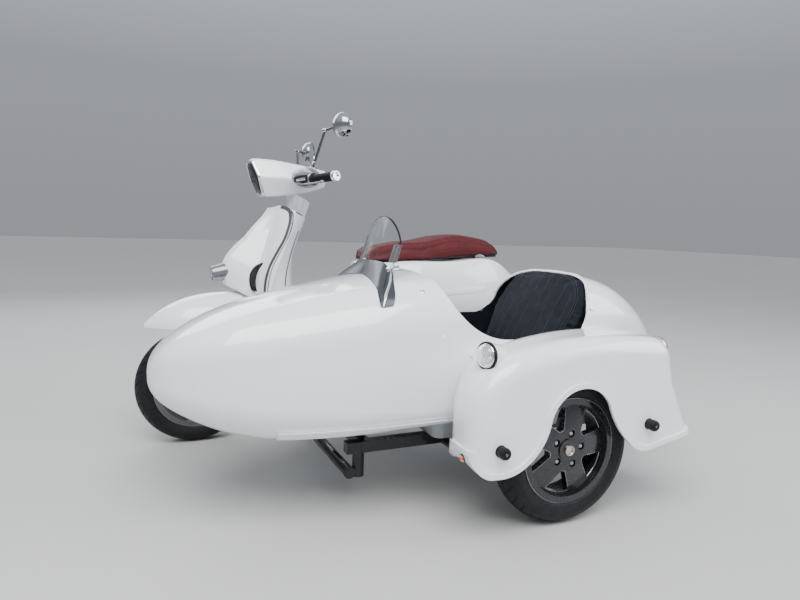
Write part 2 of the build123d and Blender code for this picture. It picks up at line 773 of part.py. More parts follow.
with BuildPart() as lamp_bezel:
    with BuildSketch(lamp_face):
        add(hexagon(4))
        add(hexagon(-4), mode=Mode.SUBTRACT)
    extrude(amount=7)
lamp_bezel.part.label = "lamp_bezel"
export_step(lamp_bezel.part, "parts/lamp_bezel.step")

with BuildPart() as headlamp:
    with BuildSketch(lamp_face):
        add(hexagon(-4))
    extrude(amount=5)
headlamp.part.label = "headlamp"
export_step(headlamp.part, "parts/headlamp.step")

# Handlebar: switch housings, grips, levers and mirrors on both sides
GRIP_INNER = (-392, 205, 1058)
GRIP_OUTER = (-464, 360, 1070)
GRIP_RADIUS = 16.5
MIRRORS = (
    # foot, knee, head, turn of the head's back from straight ahead
    ((-448, 104, 1112), (-484, 152, 1262), (-524, 238, 1276), 15),
    ((-446, -110, 1112), (-446, -122, 1204), (-530, -250, 1214), -32),
)
MIRROR_RADIUS = 54


def mirrored(point, side):
    """The point on the left, or its image on the right."""
    return (point[0], side * point[1], point[2])


with BuildPart() as switch_housings:
    cover_end = DATUM.from_local_coords(Vector(-425, 125, 1077))
    with BuildSketch(Plane(origin=cover_end, x_dir=(1, 0, 0), z_dir=(0, 1, 0))):
        Ellipse(52, 35)
    grip_plane, grip_length = between(GRIP_INNER, GRIP_OUTER)
    with BuildSketch(Plane(origin=grip_plane.origin, x_dir=(155, 72, 0), z_dir=grip_plane.z_dir)):
        Circle(24)
    loft()
    mirror(about=upright(0))
switch_housings.part.label = "switch_housings"
export_step(switch_housings.part, "parts/switch_housings.step")

with BuildPart() as grips:
    for side in (1, -1):
        grip_plane, grip_length = between(mirrored(GRIP_INNER, side), mirrored(GRIP_OUTER, side))
        with BuildSketch(grip_plane):
            Circle(GRIP_RADIUS)
        extrude(amount=grip_length)
        with BuildSketch(grip_plane):
            Circle(GRIP_RADIUS + 6)
        extrude(amount=6)
grips.part.label = "grips"
export_step(grips.part, "parts/grips.step")

with BuildPart() as levers:
    lever_end = (-416, 370, 1062)
    add(rod((-394, 184, 1060), (-352, 222, 1050), 6))
    add(rod((-352, 222, 1050), lever_end, 5))
    with Locations(DATUM.location * Location(lever_end)):
        Sphere(8)
    add(switch_housings.part, mode=Mode.SUBTRACT)
    mirror(about=upright(0))
levers.part.label = "levers"
export_step(levers.part, "parts/levers.step")

with BuildPart() as mirrors:
    for foot, knee, head, turn in MIRRORS:
        add(rod(foot, knee, 5))
        add(rod(knee, head, 5))
        with Locations(DATUM.location * Location(knee)):
            Sphere(9)
        head_plane = Plane(
            origin=DATUM.from_local_coords(Vector(head)),
            z_dir=(cos(radians(turn)), sin(radians(turn)), 0),
        )
        with BuildSketch(head_plane.offset(-16)):
            Circle(MIRROR_RADIUS)
        extrude(amount=8)
        with BuildSketch(head_plane.offset(-8)):
            Circle(MIRROR_RADIUS)
        extrude(amount=30, taper=35)
    add(headset.part, mode=Mode.SUBTRACT)
mirrors.part.label = "mirrors"
export_step(mirrors.part, "parts/mirrors.step")

# Room for the column through the bodywork
with BuildPart() as column_way:
    with BuildSketch(COLUMN.offset(440)):
        Circle(COLUMN_WAY)
    extrude(amount=700)

# Leg shield and the inner shield behind it
SHIELD_SECTIONS = (
    # height, half width, x at the edge, x at the centre, x at the centre of the inner shield
    (975, 98, -388, -337, -450),
    (870, 168, -347, -290, -428),
    (740, 196, -293, -238, -388),
    (620, 202, -254, -212, -390),
    (480, 204, -252, -246, -402),
    (300, 214, -268, -262, -404),
)
INNER_GAP = 6


def crescent(half_width, edge_x, centre_x, thickness):
    """Curved panel section seen from above, bowed from its edges to its centre."""
    with BuildSketch() as outline:
        with BuildLine():
            ThreePointArc((edge_x, half_width), (centre_x, 0), (edge_x, -half_width))
            Line((edge_x, -half_width), (edge_x - thickness, -half_width))
            ThreePointArc(
                (edge_x - thickness, -half_width), (centre_x - thickness, 0), (edge_x - thickness, half_width)
            )
            Line((edge_x - thickness, half_width), (edge_x, half_width))
        make_face()
    return outline.sketch


def shield_top(part_top):
    """Everything above the shields, cut square to the column."""
    with BuildPart() as above:
        with BuildSketch(COLUMN.offset(part_top)):
            Rectangle(900, 900)
        extrude(amount=400)
    return above.part


with BuildPart() as leg_shield:
    for height, half_width, edge_x, centre_x, inner_x in SHIELD_SECTIONS:
        with BuildSketch(level(height)):
            add(crescent(half_width, edge_x, centre_x, PANEL))
    loft()
    add(shield_top(HEAD_TUBE_TOP + 2), mode=Mode.SUBTRACT)
    add(column_way.part, mode=Mode.SUBTRACT)
leg_shield.part.label = "leg_shield"
export_step(leg_shield.part, "parts/leg_shield.step")

with BuildPart() as inner_shield:
    for height, half_width, edge_x, centre_x, inner_x in SHIELD_SECTIONS:
        with BuildSketch(level(height)) as inner_section:
            inset = half_width - 10
            with BuildLine():
                ThreePointArc((edge_x - INNER_GAP, inset), (inner_x, 0), (edge_x - INNER_GAP, -inset))
                Line((edge_x - INNER_GAP, -inset), (edge_x - INNER_GAP, 6 - inset))
                ThreePointArc(
                    (edge_x - INNER_GAP, 6 - inset), (inner_x + PANEL, 0), (edge_x - INNER_GAP, inset - 6)
                )
                Line((edge_x - INNER_GAP, inset - 6), (edge_x - INNER_GAP, inset))
            make_face()
    loft()
    add(shield_top(HEAD_TUBE_TOP + 2), mode=Mode.SUBTRACT)
    add(column_way.part, mode=Mode.SUBTRACT)
inner_shield.part.label = "inner_shield"
export_step(inner_shield.part, "parts/inner_shield.step")

# Horn casting: a prow down the middle of the leg shield with a nose at its foot
CASTING_SECTIONS = (
    # height along the column, half width at the shield, half width of the ridge, x of the ridge
    (1040, 40, 12, 74),
    (900, 62, 20, 118),
    (790, 80, 26, 158),
    (720, 88, 30, 160),
    (655, 84, 26, 118),
)
with BuildPart() as horn_casting:
    for height, foot_half, ridge_half, ridge_x in CASTING_SECTIONS:
        with BuildSketch(COLUMN.offset(height)):
            with BuildLine():
                Polyline(
                    (-10, -foot_half),
                    (40, -foot_half),
                    (ridge_x - 14, -ridge_half),
                    (ridge_x, 0),
                    (ridge_x - 14, ridge_half),
                    (40, foot_half),
                    (-10, foot_half),
                    close=True,
                )
            make_face()
    loft()
    nose_plane, nose_length = between((-130, 0, 690), (-66, 0, 678))
    with BuildSketch(nose_plane):
        Circle(36)
    extrude(amount=nose_length, taper=6)
    # only what stands ahead of the leg shield
    with BuildSketch(level(300)) as behind:
        with BuildLine():
            Polyline((-700, -300), (-340, -300), (-340, 300), (-700, 300), close=True)
        make_face()
    extrude(amount=700, mode=Mode.SUBTRACT)
    for height, half_width, edge_x, centre_x, inner_x in SHIELD_SECTIONS:
        with BuildSketch(level(height)):
            with BuildLine():
                ThreePointArc((edge_x, half_width), (centre_x, 0), (edge_x, -half_width))
                Polyline(
                    (edge_x, -half_width),
                    (edge_x - 200, -half_width),
                    (edge_x - 200, half_width),
                    (edge_x, half_width),
                )
            make_face()
    loft(mode=Mode.SUBTRACT)
    add(leg_shield.part, mode=Mode.SUBTRACT)
    add(shield_top(HEAD_TUBE_TOP + 2), mode=Mode.SUBTRACT)
    add(column_way.part, mode=Mode.SUBTRACT)
horn_casting.part.label = "horn_casting"
export_step(horn_casting.part, "parts/horn_casting.step")

# Front mudguard, fixed to the body: a beak over the wheel
MUDGUARD_FOOT = 472
MUDGUARD_SECTIONS = (
    # x, half width, top
    (190, 14, 486),
    (130, 66, 539),
    (40, 108, 583),
    (-100, 128, 606),
    (-240, 132, 606),
)
with BuildPart() as front_mudguard:
    for x, half_width, top in MUDGUARD_SECTIONS:
        with BuildSketch(across(x)):
            with BuildLine():
                ThreePointArc((-half_width, MUDGUARD_FOOT), (0, top), (half_width, MUDGUARD_FOOT))
                Line((half_width, MUDGUARD_FOOT), (half_width - FENDER, MUDGUARD_FOOT))
                ThreePointArc(
                    (half_width - FENDER, MUDGUARD_FOOT),
                    (0, top - FENDER),
                    (FENDER - half_width, MUDGUARD_FOOT),
                )
                Line((FENDER - half_width, MUDGUARD_FOOT), (-half_width, MUDGUARD_FOOT))
            make_face()
    loft()
    for height, half_width, edge_x, centre_x, inner_x in SHIELD_SECTIONS:
        with BuildSketch(level(height)):
            with BuildLine():
                ThreePointArc((edge_x, half_width), (centre_x, 0), (edge_x, -half_width))
                Polyline(
                    (edge_x, -half_width),
                    (edge_x - 200, -half_width),
                    (edge_x - 200, half_width),
                    (edge_x, half_width),
                )
            make_face()
    loft(mode=Mode.SUBTRACT)
    add(leg_shield.part, mode=Mode.SUBTRACT)
    add(horn_casting.part, mode=Mode.SUBTRACT)
    add(column_way.part, mode=Mode.SUBTRACT)
front_mudguard.part.label = "front_mudguard"
export_step(front_mudguard.part, "parts/front_mudguard.step")

# Floorboard with side sills
FLOOR_LEVEL = 298
with BuildPart() as floorboard:
    with BuildSketch(level(FLOOR_LEVEL - 12)):
        with BuildLine():
            Polyline(
                (-285, -214),
                (-285, 214),
                (-700, 206),
                (-760, 160),
                (-760, -160),
                (-700, -206),
                close=True,
            )
        make_face()
    extrude(amount=12)
    for side in (1, -1):
        with BuildSketch(across(-720)):
            with BuildLine():
                Polyline(
                    (side * 205, FLOOR_LEVEL - 12),
                    (side * 196, 215),
                    (side * 186, 215),
                    (side * 193, FLOOR_LEVEL - 12),
                    close=True,
                )
            make_face()
        extrude(amount=420)
    # raised foot rest between the shield and the seat body
    with BuildSketch(level(FLOOR_LEVEL)):
        with Locations((-560, 0)):
            RectangleRounded(250, 340, 30)
    extrude(amount=3)
    add(leg_shield.part, mode=Mode.SUBTRACT)
    add(inner_shield.part, mode=Mode.SUBTRACT)
    add(scooter_frame.part, mode=Mode.SUBTRACT)
    with BuildSketch(level(FLOOR_LEVEL - 20)):
        with Locations((-330, 0)):
            Circle(FRAME_TUBE + 3)
    extrude(amount=40, mode=Mode.SUBTRACT)
floorboard.part.label = "floorboard"
export_step(floorboard.part, "parts/floorboard.step")

# Rear bodywork: one lofted form, split into a centre body and two side covers
REAR_SECTIONS = (
    # x, half width, bottom, top
    (-702, 150, FLOOR_LEVEL, 732),
    (-748, 175, 339, 735),
    (-800, 192, 385, 738),
    (-950, 226, 465, 745),
    (-1140, 236, 498, 753),
    (-1300, 210, 512, 750),
    (-1400, 165, 530, 699),
    (-1490, 114, 572, 652),
    (-1532, 74, 594, 636),
)
COVER_SEAM = 92
SEAT_HALF = 142
SEAT_REAR = -1374


def rear_loft(inset):
    """Solid of the rear bodywork, each face moved inwards by inset."""
    with BuildPart() as rear:
        for x, half_width, bottom, top in REAR_SECTIONS:
            end_shift = -inset if x > -1000 else inset
            half = half_width - inset
            low, high = bottom + inset, top - inset
            middle = low + 0.45 * (high - low)
            with BuildSketch(across(x + end_shift)) as section:
                with BuildLine():
                    Line((-0.8 * half, high), (0.8 * half, high))
                    ThreePointArc((0.8 * half, high), (half, middle), (0.86 * half, low))
                    Line((0.86 * half, low), (-0.86 * half, low))
                    ThreePointArc((-0.86 * half, low), (-half, middle), (-0.8 * half, high))
                make_face()
                fillet(section.vertices(), radius=0.11 * (top - bottom))
        loft()
    return rear.part


rear_outer = rear_loft(0)
rear_inner = rear_loft(PANEL)
with BuildPart() as rear_shell:
    add(rear_outer)
    add(rear_inner, mode=Mode.SUBTRACT)
    # open underneath for the wheel and engine
    with BuildSketch(level(200)):
        with Locations((-1150, 0)):
            Rectangle(700, 330)
    extrude(amount=360, mode=Mode.SUBTRACT)
    # level seat for the pan of the saddle
    with BuildSketch(upright(SEAT_HALF)):
        with BuildLine():
            Polyline((-640, 740), (SEAT_REAR, 763), (SEAT_REAR, 800), (-640, 800), close=True)
        make_face()
    extrude(amount=2 * SEAT_HALF, mode=Mode.SUBTRACT)

BUCKET_FRONT = -738
BUCKET_REAR = -1120
BUCKET_HALF = 104
BUCKET_FLOOR = 520
with BuildPart() as rear_body:
    add(rear_shell.part)
    with BuildSketch(level(250)):
        with Locations((-1150, 0)):
            Rectangle(1000, 2 * COVER_SEAM)
    extrude(amount=600, mode=Mode.INTERSECT)
    with BuildSketch(level(600)):
        with Locations(((BUCKET_FRONT + BUCKET_REAR) / 2, 0)):
            Rectangle(BUCKET_FRONT - BUCKET_REAR, 2 * BUCKET_HALF)
    extrude(amount=200, mode=Mode.SUBTRACT)
    add(scooter_frame.part, mode=Mode.SUBTRACT)
rear_body.part.label = "rear_body"
export_step(rear_body.part, "parts/rear_body.step")

with BuildPart() as side_covers:
    add(rear_shell.part)
    with BuildSketch(level(250)):
        with Locations((-1150, 0)):
            Rectangle(1000, 2 * COVER_SEAM + 2)
    extrude(amount=600, mode=Mode.SUBTRACT)
    with BuildSketch(level(600)):
        with Locations(((BUCKET_FRONT + BUCKET_REAR) / 2, 0)):
            Rectangle(BUCKET_FRONT - BUCKET_REAR, 2 * BUCKET_HALF)
    extrude(amount=200, mode=Mode.SUBTRACT)
    add(scooter_frame.part, mode=Mode.SUBTRACT)
    add(sidecar_frame.part, mode=Mode.SUBTRACT)
side_covers.part.label = "side_covers"
export_step(side_covers.part, "parts/side_covers.step")

with BuildPart() as storage_bucket:
    with BuildSketch(level(BUCKET_FLOOR)):
        with Locations(((BUCKET_FRONT + BUCKET_REAR) / 2, 0)):
            Rectangle(BUCKET_FRONT - BUCKET_REAR - 1, 2 * BUCKET_HALF - 1)
    extrude(amount=735 - BUCKET_FLOOR)
    with BuildSketch(level(BUCKET_FLOOR + 3)):
        with Locations(((BUCKET_FRONT + BUCKET_REAR) / 2, 0)):
            Rectangle(BUCKET_FRONT - BUCKET_REAR - 7, 2 * BUCKET_HALF - 7)
    extrude(amount=300, mode=Mode.SUBTRACT)
    add(scooter_frame.part, mode=Mode.SUBTRACT)
storage_bucket.part.label = "storage_bucket"
export_step(storage_bucket.part, "parts/storage_bucket.step")

# Seat: pan and soft cushion, hinged together at the front
SEAT_FRONT = -698


def seat_plan(grow):
    """Seat outline from above: narrow at the front, full behind."""
    with BuildSketch() as outline:
        with BuildLine():
            Polyline(
                (SEAT_FRONT + grow, -84 - grow),
                (SEAT_FRONT + grow, 84 + grow),
                (-980, SEAT_HALF + grow),
                (SEAT_REAR - grow, 112 + grow),
                (SEAT_REAR - grow, -112 - grow),
                (-980, -SEAT_HALF - grow),
                close=True,
            )
        make_face()
        fillet(outline.vertices(), radius=56)
    return outline.sketch


with BuildPart() as seat_base:
    with BuildSketch(level(700)):
        add(seat_plan(-6))
    extrude(amount=200)
    with BuildSketch(upright(200)):
        with BuildLine():
            Polyline((-640, 742), (-1400, 766), (-1400, 778), (-640, 754), close=True)
        make_face()
    extrude(amount=400, mode=Mode.INTERSECT)
seat_base.part.label = "seat_base"
export_step(seat_base.part, "parts/seat_base.step")

with BuildPart() as seat_cushion:
    with BuildSketch(level(700)):
        add(seat_plan(0))
    extrude(amount=200)
    with BuildSketch(upright(200)):
        with BuildLine():
            Line((-640, 754.5), (-640, 804))
            Spline((-640, 804), (-880, 818), (-950, 832), (-1060, 848), (-1200, 855), (-1290, 844))
            Line((-1290, 844), (-1380, 780))
            Line((-1380, 780), (-1400, 778.5))
            Line((-1400, 778.5), (-640, 754.5))
        make_face()
    extrude(amount=400, mode=Mode.INTERSECT)
seat_cushion.part.label = "seat_cushion"
export_step(seat_cushion.part, "parts/seat_cushion.step")

# Lamps at the rear, both red: one wraps the tail, one stands on the sidecar's mudguard
TAIL_LAMP_PROUD = 8
TAIL_LAMP_FRONT = -1462
TAIL_LAMP_HALF = 92
with BuildPart() as rear_lamps:
    add(rear_loft(-TAIL_LAMP_PROUD))
    with BuildSketch(level(596)):
        with Locations((TAIL_LAMP_FRONT - 60, 0)):
            Rectangle(120, 2 * TAIL_LAMP_HALF)
    extrude(amount=80, mode=Mode.INTERSECT)
    add(rear_outer, mode=Mode.SUBTRACT)
    lamp_plane, lamp_depth = between((-1290, 1094, 514), (-1356, 1094, 520))
    with BuildSketch(lamp_plane):
        Circle(36)
    extrude(amount=lamp_depth)
    add(guard_outer, mode=Mode.SUBTRACT)
rear_lamps.part.label = "rear_lamps"
export_step(rear_lamps.part, "parts/rear_lamps.step")

# Engine, drive case and rear spindle
DRIVE_INNER = 74
ENGINE_Z = 250
LID_RIBS = (-1120, -1160, -1200, -1240)
FAN_LOUVRES = 10
FIN_PITCH = 11
with BuildPart() as engine:
    with Locations(DATUM.location * Location((-1010, 0, 262))):
        Box(150, 190, 200)
    fillet(engine.edges(), radius=16)
    with BuildSketch(upright(130)):
        with Locations((-1010, ENGINE_Z)):
            Circle(82)
        with Locations((-WHEELBASE, REAR_TYRE_RADIUS)):
            Circle(58)
        make_hull()
    extrude(amount=130 - DRIVE_INNER)
    # sunk panel in the drive case's lid, with a boss at either shaft
    with BuildSketch(upright(130)):
        with Locations((-1010, ENGINE_Z)):
            Circle(70)
        with Locations((-WHEELBASE, REAR_TYRE_RADIUS)):
            Circle(46)
        make_hull()
        with Locations((-1010, ENGINE_Z)):
            Circle(44, mode=Mode.SUBTRACT)
        with Locations((-WHEELBASE, REAR_TYRE_RADIUS)):
            Circle(26, mode=Mode.SUBTRACT)
        for x in LID_RIBS:
            with Locations((x, ENGINE_Z)):
                Rectangle(5, 180, rotation=20, mode=Mode.SUBTRACT)
    extrude(amount=5, mode=Mode.SUBTRACT)
    # fan cowl on the right, open through curved louvres
    with BuildSketch(upright(-94)):
        with Locations((-1010, 268)):
            Circle(72)
    extrude(amount=15)
    with BuildSketch(upright(-103)):
        with Locations((-1010, 268)):
            with PolarLocations(42, FAN_LOUVRES):
                SlotOverall(40, 9, rotation=24)
    extrude(amount=8, mode=Mode.SUBTRACT)
    # cylinder barrel with its cooling fins
    barrel_plane, barrel_length = between((-888, 0, 300), (-960, 0, 285))
    with BuildSketch(barrel_plane):
        Circle(44)
    extrude(amount=barrel_length)
    for rise in range(0, 48, FIN_PITCH):
        with BuildSketch(barrel_plane.offset(rise)):
            RectangleRounded(116, 116, 24)
        extrude(amount=5)
    spindle_end = (-WHEELBASE, -72, REAR_TYRE_RADIUS)
    add(rod((-WHEELBASE, DRIVE_INNER + 4, REAR_TYRE_RADIUS), spindle_end, REAR_SPINDLE))
engine.part.label = "engine"
export_step(engine.part, "parts/engine.step")

with BuildPart() as exhaust:
    add(rod((-1180, -132, 262), (-1500, -150, 318), 46))
    add(rod((-1228, -134.7, 270.4), (-1238, -135.3, 272.2), 48.5))
    add(rod((-1446, -147, 308.6), (-1456, -147.5, 310.3), 48.5))
    add(rod((-1496, -158, 300), (-1524, -160, 305), 13))
    add(rod((-930, -132, 190), (-1200, -132, 264), 14))
    add(rod((-930, -132, 190), (-930, -60, 210), 14))
    add(engine.part, mode=Mode.SUBTRACT)
exhaust.part.label = "exhaust"
export_step(exhaust.part, "parts/exhaust.step")

with BuildPart() as rear_shock:
    add(rod((-1390, 104, 268), (-1366, 110, 600), 9))
    add(rod((-1383, 106, 360), (-1368, 110, 560), 24))
    add(rod((-1366, 92, 600), (-1366, 128, 600), 10))
    add(engine.part, mode=Mode.SUBTRACT)
    add(scooter_frame.part, mode=Mode.SUBTRACT)
rear_shock.part.label = "rear_shock"
export_step(rear_shock.part, "parts/rear_shock.step")

# Rear mudguard behind the wheel, with a bracket for a number plate
PLATE_X = -1612
PLATE_HOLES = 100  # distance between the bolts
PLATE_HOLE_RADIUS = 3.3
PLATE_Z = 452
with BuildPart() as rear_fender:
    with BuildSketch(upright(64)):
        with BuildLine():
            ThreePointArc((-1470, 492), (-1552, 432), (-1600, 336))
            Line((-1600, 336), (-1604, 337))
            ThreePointArc((-1604, 337), (-1555, 435), (-1472, 496))
            Line((-1472, 496), (-1470, 492))
        make_face()
    extrude(amount=128)
    add(rod((-1474, 0, 488), (-1462, 0, 600), 12))
    with BuildSketch(across(PLATE_X)):
        with Locations((0, PLATE_Z)):
            RectangleRounded(150, 60, 8)
    extrude(amount=4)
    for y in (-40, 40):
        add(rod((-1558, y, 428), (PLATE_X + 2, y, PLATE_Z), 6))
    with BuildSketch(across(PLATE_X - 10)):
        with Locations((-PLATE_HOLES / 2, PLATE_Z), (PLATE_HOLES / 2, PLATE_Z)):
            Circle(PLATE_HOLE_RADIUS)
    extrude(amount=24, mode=Mode.SUBTRACT)
    add(rear_outer, mode=Mode.SUBTRACT)
rear_fender.part.label = "rear_fender"
export_step(rear_fender.part, "parts/rear_fender.step")

# Centre stand, folded up behind its pivot
STAND_PIVOT = (-948, 150)
with BuildPart() as centre_stand:
    for side in (1, -1):
        start = (STAND_PIVOT[0], side * 96, STAND_PIVOT[1])
        end = (STAND_PIVOT[0] - 120, side * 104, STAND_PIVOT[1] - 4)
        add(rod(start, end, 9))
        add(rod((end[0], side * 96, end[2]), (end[0], side * 128, end[2]), 9))
    add(rod((STAND_PIVOT[0], -100, STAND_PIVOT[1]), (STAND_PIVOT[0], 100, STAND_PIVOT[1]), 9))
centre_stand.part.label = "centre_stand"
export_step(centre_stand.part, "parts/centre_stand.step")
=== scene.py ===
from math import atan2, cos, hypot, pi, radians, sin, sqrt

import bmesh
import bpy
from mathutils import Matrix, Vector
from mathutils.bvhtree import BVHTree


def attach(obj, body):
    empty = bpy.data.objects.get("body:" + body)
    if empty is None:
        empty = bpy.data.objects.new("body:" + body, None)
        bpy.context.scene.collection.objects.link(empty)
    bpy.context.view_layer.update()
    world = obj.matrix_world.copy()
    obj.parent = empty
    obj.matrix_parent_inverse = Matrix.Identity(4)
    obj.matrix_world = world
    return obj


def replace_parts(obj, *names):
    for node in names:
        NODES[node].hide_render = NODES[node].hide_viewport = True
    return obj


# Looks of the sidecar motorcycle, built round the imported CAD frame. Lengths in the tables
# are millimetres from the datum that the part's source uses: on the ground under the front
# axle, on the scooter's centre plane, with x forward, y left and z up.
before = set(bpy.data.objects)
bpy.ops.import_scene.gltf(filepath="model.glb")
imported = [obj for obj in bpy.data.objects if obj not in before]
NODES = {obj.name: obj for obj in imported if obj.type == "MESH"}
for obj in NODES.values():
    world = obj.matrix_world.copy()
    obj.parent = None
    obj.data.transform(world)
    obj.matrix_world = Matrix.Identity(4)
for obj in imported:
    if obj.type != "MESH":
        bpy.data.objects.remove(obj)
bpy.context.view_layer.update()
DATUM = Vector((0.708, -0.427, 0.0))
MM = 0.001
BODY_Y = 700
TRACK = 1105.5


LEFT, UP = Vector((0, 1, 0)), Vector((0, 0, 1))


def at(x, y, z):
    """Datum millimetres to frame metres."""
    return DATUM + Vector((x, y, z)) * MM


# Camera at the photo's place and angle
CAMERA_AT = (257.0, 2560.6, 885.6)
YAW, PITCH, ROLL = (radians(a) for a in (24.3874, 6.7063, 1.7769))
EYE = at(*CAMERA_AT)
FOCAL_PX = 612.3873
IMAGE = (800, 600)
forward = Vector((-sin(YAW) * cos(PITCH), -cos(YAW) * cos(PITCH), -sin(PITCH)))
level_right = Vector((-cos(YAW), sin(YAW), 0))
level_up = level_right.cross(forward)
view_right = level_right * cos(ROLL) + level_up * sin(ROLL)
view_up = level_up * cos(ROLL) - level_right * sin(ROLL)
camera_data = bpy.data.cameras.new("camera")
camera_data.sensor_width = 36
camera_data.lens = 36 * FOCAL_PX / IMAGE[0]
camera = bpy.data.objects.new("camera", camera_data)
turned_view = Matrix((view_right, view_up, -forward)).transposed().to_4x4()
camera.matrix_world = Matrix.Translation(EYE) @ turned_view
bpy.context.scene.collection.objects.link(camera)
bpy.context.scene.camera = camera


# Materials: mottled colour, uneven gloss, fine relief and a little road dust low down
SHADER_VALUES = {
    "metal": ("Metallic", 0.0),
    "coat": ("Coat Weight", 0.0),
    "coat_rough": ("Coat Roughness", 0.04),
    "sheen": ("Sheen Weight", 0.0),
    "sheen_rough": ("Sheen Roughness", 0.4),
    "clear": ("Transmission Weight", 0.0),
    "ior": ("IOR", 1.5),
    "shine": ("Specular IOR Level", 0.5),
}
DUST_COLOUR = (0.20, 0.19, 0.175)
UNEVEN_GLOSS = 0.15


def material(
    name, colour, rough, mottle=(6.0, 0.06), relief=(900.0, 0.02), kind="noise", dust=0.0, **shader_values
):
    """A finish: mottle is (scale, depth), relief is (scale, strength) of the kind's pattern."""
    made = bpy.data.materials.new(name)
    made.use_nodes = True
    nodes, links = made.node_tree.nodes, made.node_tree.links
    shader = nodes["Principled BSDF"]
    for key, (socket, usual) in SHADER_VALUES.items():
        shader.inputs[socket].default_value = shader_values.get(key, usual)
    place = nodes.new("ShaderNodeTexCoord").outputs["Object"]

    def pattern(node_type, output, source=place, feature=None, **values):
        found = nodes.new(node_type)
        if feature:
            found.feature = feature
        for socket, value in values.items():
            found.inputs[socket].default_value = value
        links.new(source, found.inputs["Vector"])
        return found.outputs[output]

    def cloud(scale, detail):
        return pattern("ShaderNodeTexNoise", "Fac", Scale=scale, Detail=detail)

    def ramp(source, low, high, start=0.3, end=0.7):
        found = nodes.new("ShaderNodeMapRange")
        for socket, value in (("From Min", start), ("From Max", end), ("To Min", low), ("To Max", high)):
            found.inputs[socket].default_value = value
        links.new(source, found.inputs["Value"])
        return found.outputs["Result"]

    def mix(share, first, second):
        found = nodes.new("ShaderNodeMix")
        found.data_type = "RGBA"
        links.new(share, found.inputs["Factor"])
        for socket, value in (("A", first), ("B", second)):
            target = [s for s in found.inputs if s.name == socket and s.type == "RGBA"][0]
            if isinstance(value, bpy.types.NodeSocket):
                links.new(value, target)
            else:
                target.default_value = (*value, 1)
        return [s for s in found.outputs if s.type == "RGBA"][0]

    darker = [c * (1 - 4 * mottle[1]) for c in colour]
    tone = mix(ramp(cloud(mottle[0], 6.0), 0.0, 1.0), colour, darker)
    if dust:
        height = nodes.new("ShaderNodeSeparateXYZ")
        links.new(place, height.inputs["Vector"])
        patches = nodes.new("ShaderNodeMath")
        patches.operation = "MULTIPLY"
        links.new(ramp(height.outputs["Z"], 1.0, 0.0, 0.02, 0.42), patches.inputs[0])
        links.new(ramp(cloud(85.0, 8.0), 0.25 * dust, dust, 0.4, 0.7), patches.inputs[1])
        tone = mix(patches.outputs[0], tone, DUST_COLOUR)
    links.new(tone, shader.inputs["Base Color"])
    glossy, dull = rough * (1 - UNEVEN_GLOSS), min(1, rough * (1 + UNEVEN_GLOSS))
    links.new(ramp(cloud(mottle[0] * 5, 4.0), glossy, dull), shader.inputs["Roughness"])
    scale, strength = relief
    if kind == "leather":
        cells = pattern("ShaderNodeTexVoronoi", "Distance", feature="DISTANCE_TO_EDGE", Scale=scale)
        source = ramp(cells, 0.0, 1.0, 0.0, 0.25)
    elif kind == "brushed":
        stretched = pattern("ShaderNodeMapping", "Vector", Scale=(0.02, 1, 1))
        source = pattern("ShaderNodeTexNoise", "Fac", stretched, Scale=scale)
    elif kind == "cells":
        source = pattern("ShaderNodeTexVoronoi", "Distance", Scale=scale)
    else:
        source = cloud(scale, 2.0)
    bump = nodes.new("ShaderNodeBump")
    bump.inputs["Strength"].default_value = strength
    bump.inputs["Distance"].default_value = MM
    links.new(source, bump.inputs["Height"])
    links.new(bump.outputs["Normal"], shader.inputs["Normal"])
    return made


WHITE = material("white_paint", (0.88, 0.90, 0.93), 0.15, (3.0, 0.006), (220.0, 0.03), coat=1.0, dust=0.05)
BLACK_PAINT = material("chassis_black", (0.008, 0.009, 0.013), 0.3, (9.0, 0.1), coat=0.25, dust=0.06, shine=0.3)
BLACK_PLASTIC = material(
    "black_plastic", (0.010, 0.010, 0.012), 0.5, (14.0, 0.08), (900.0, 0.2),
    kind="leather", shine=0.25
)
RUBBER = material("rubber", (0.007, 0.0075, 0.010), 0.5, (20.0, 0.1), (420.0, 0.2), dust=0.03, shine=0.22)
TYRE = material("tyre_rubber", (0.008, 0.009, 0.012), 0.55, (24.0, 0.12), (520.0, 0.3), dust=0.06, shine=0.22)
CHROME = material("chrome", (0.9, 0.91, 0.93), 0.06, (30.0, 0.02), (300.0, 0.01), metal=1.0)
SATIN = material("satin_silver", (0.25, 0.26, 0.28), 0.3, (30.0, 0.03), (1500.0, 0.05), metal=0.9)
TRIM_GREY = material("trim_grey", (0.075, 0.08, 0.09), 0.36, (30.0, 0.03), (1500.0, 0.05), metal=0.35)
# Mirror stems and shells: chrome darkened to paint in the dark surroundings it reflects, a painted reflection.
STEM_CHROME_PAINTED_REFLECTION = material("stem_chrome_painted_reflection", (0.10, 0.10, 0.11), 0.3, (30.0, 0.03), (1500.0, 0.02), metal=0.9)
SHELL_CHROME_PAINTED_REFLECTION = material("shell_chrome_painted_reflection", (0.42, 0.43, 0.46), 0.12, (30.0, 0.03), (300.0, 0.01), metal=1.0)
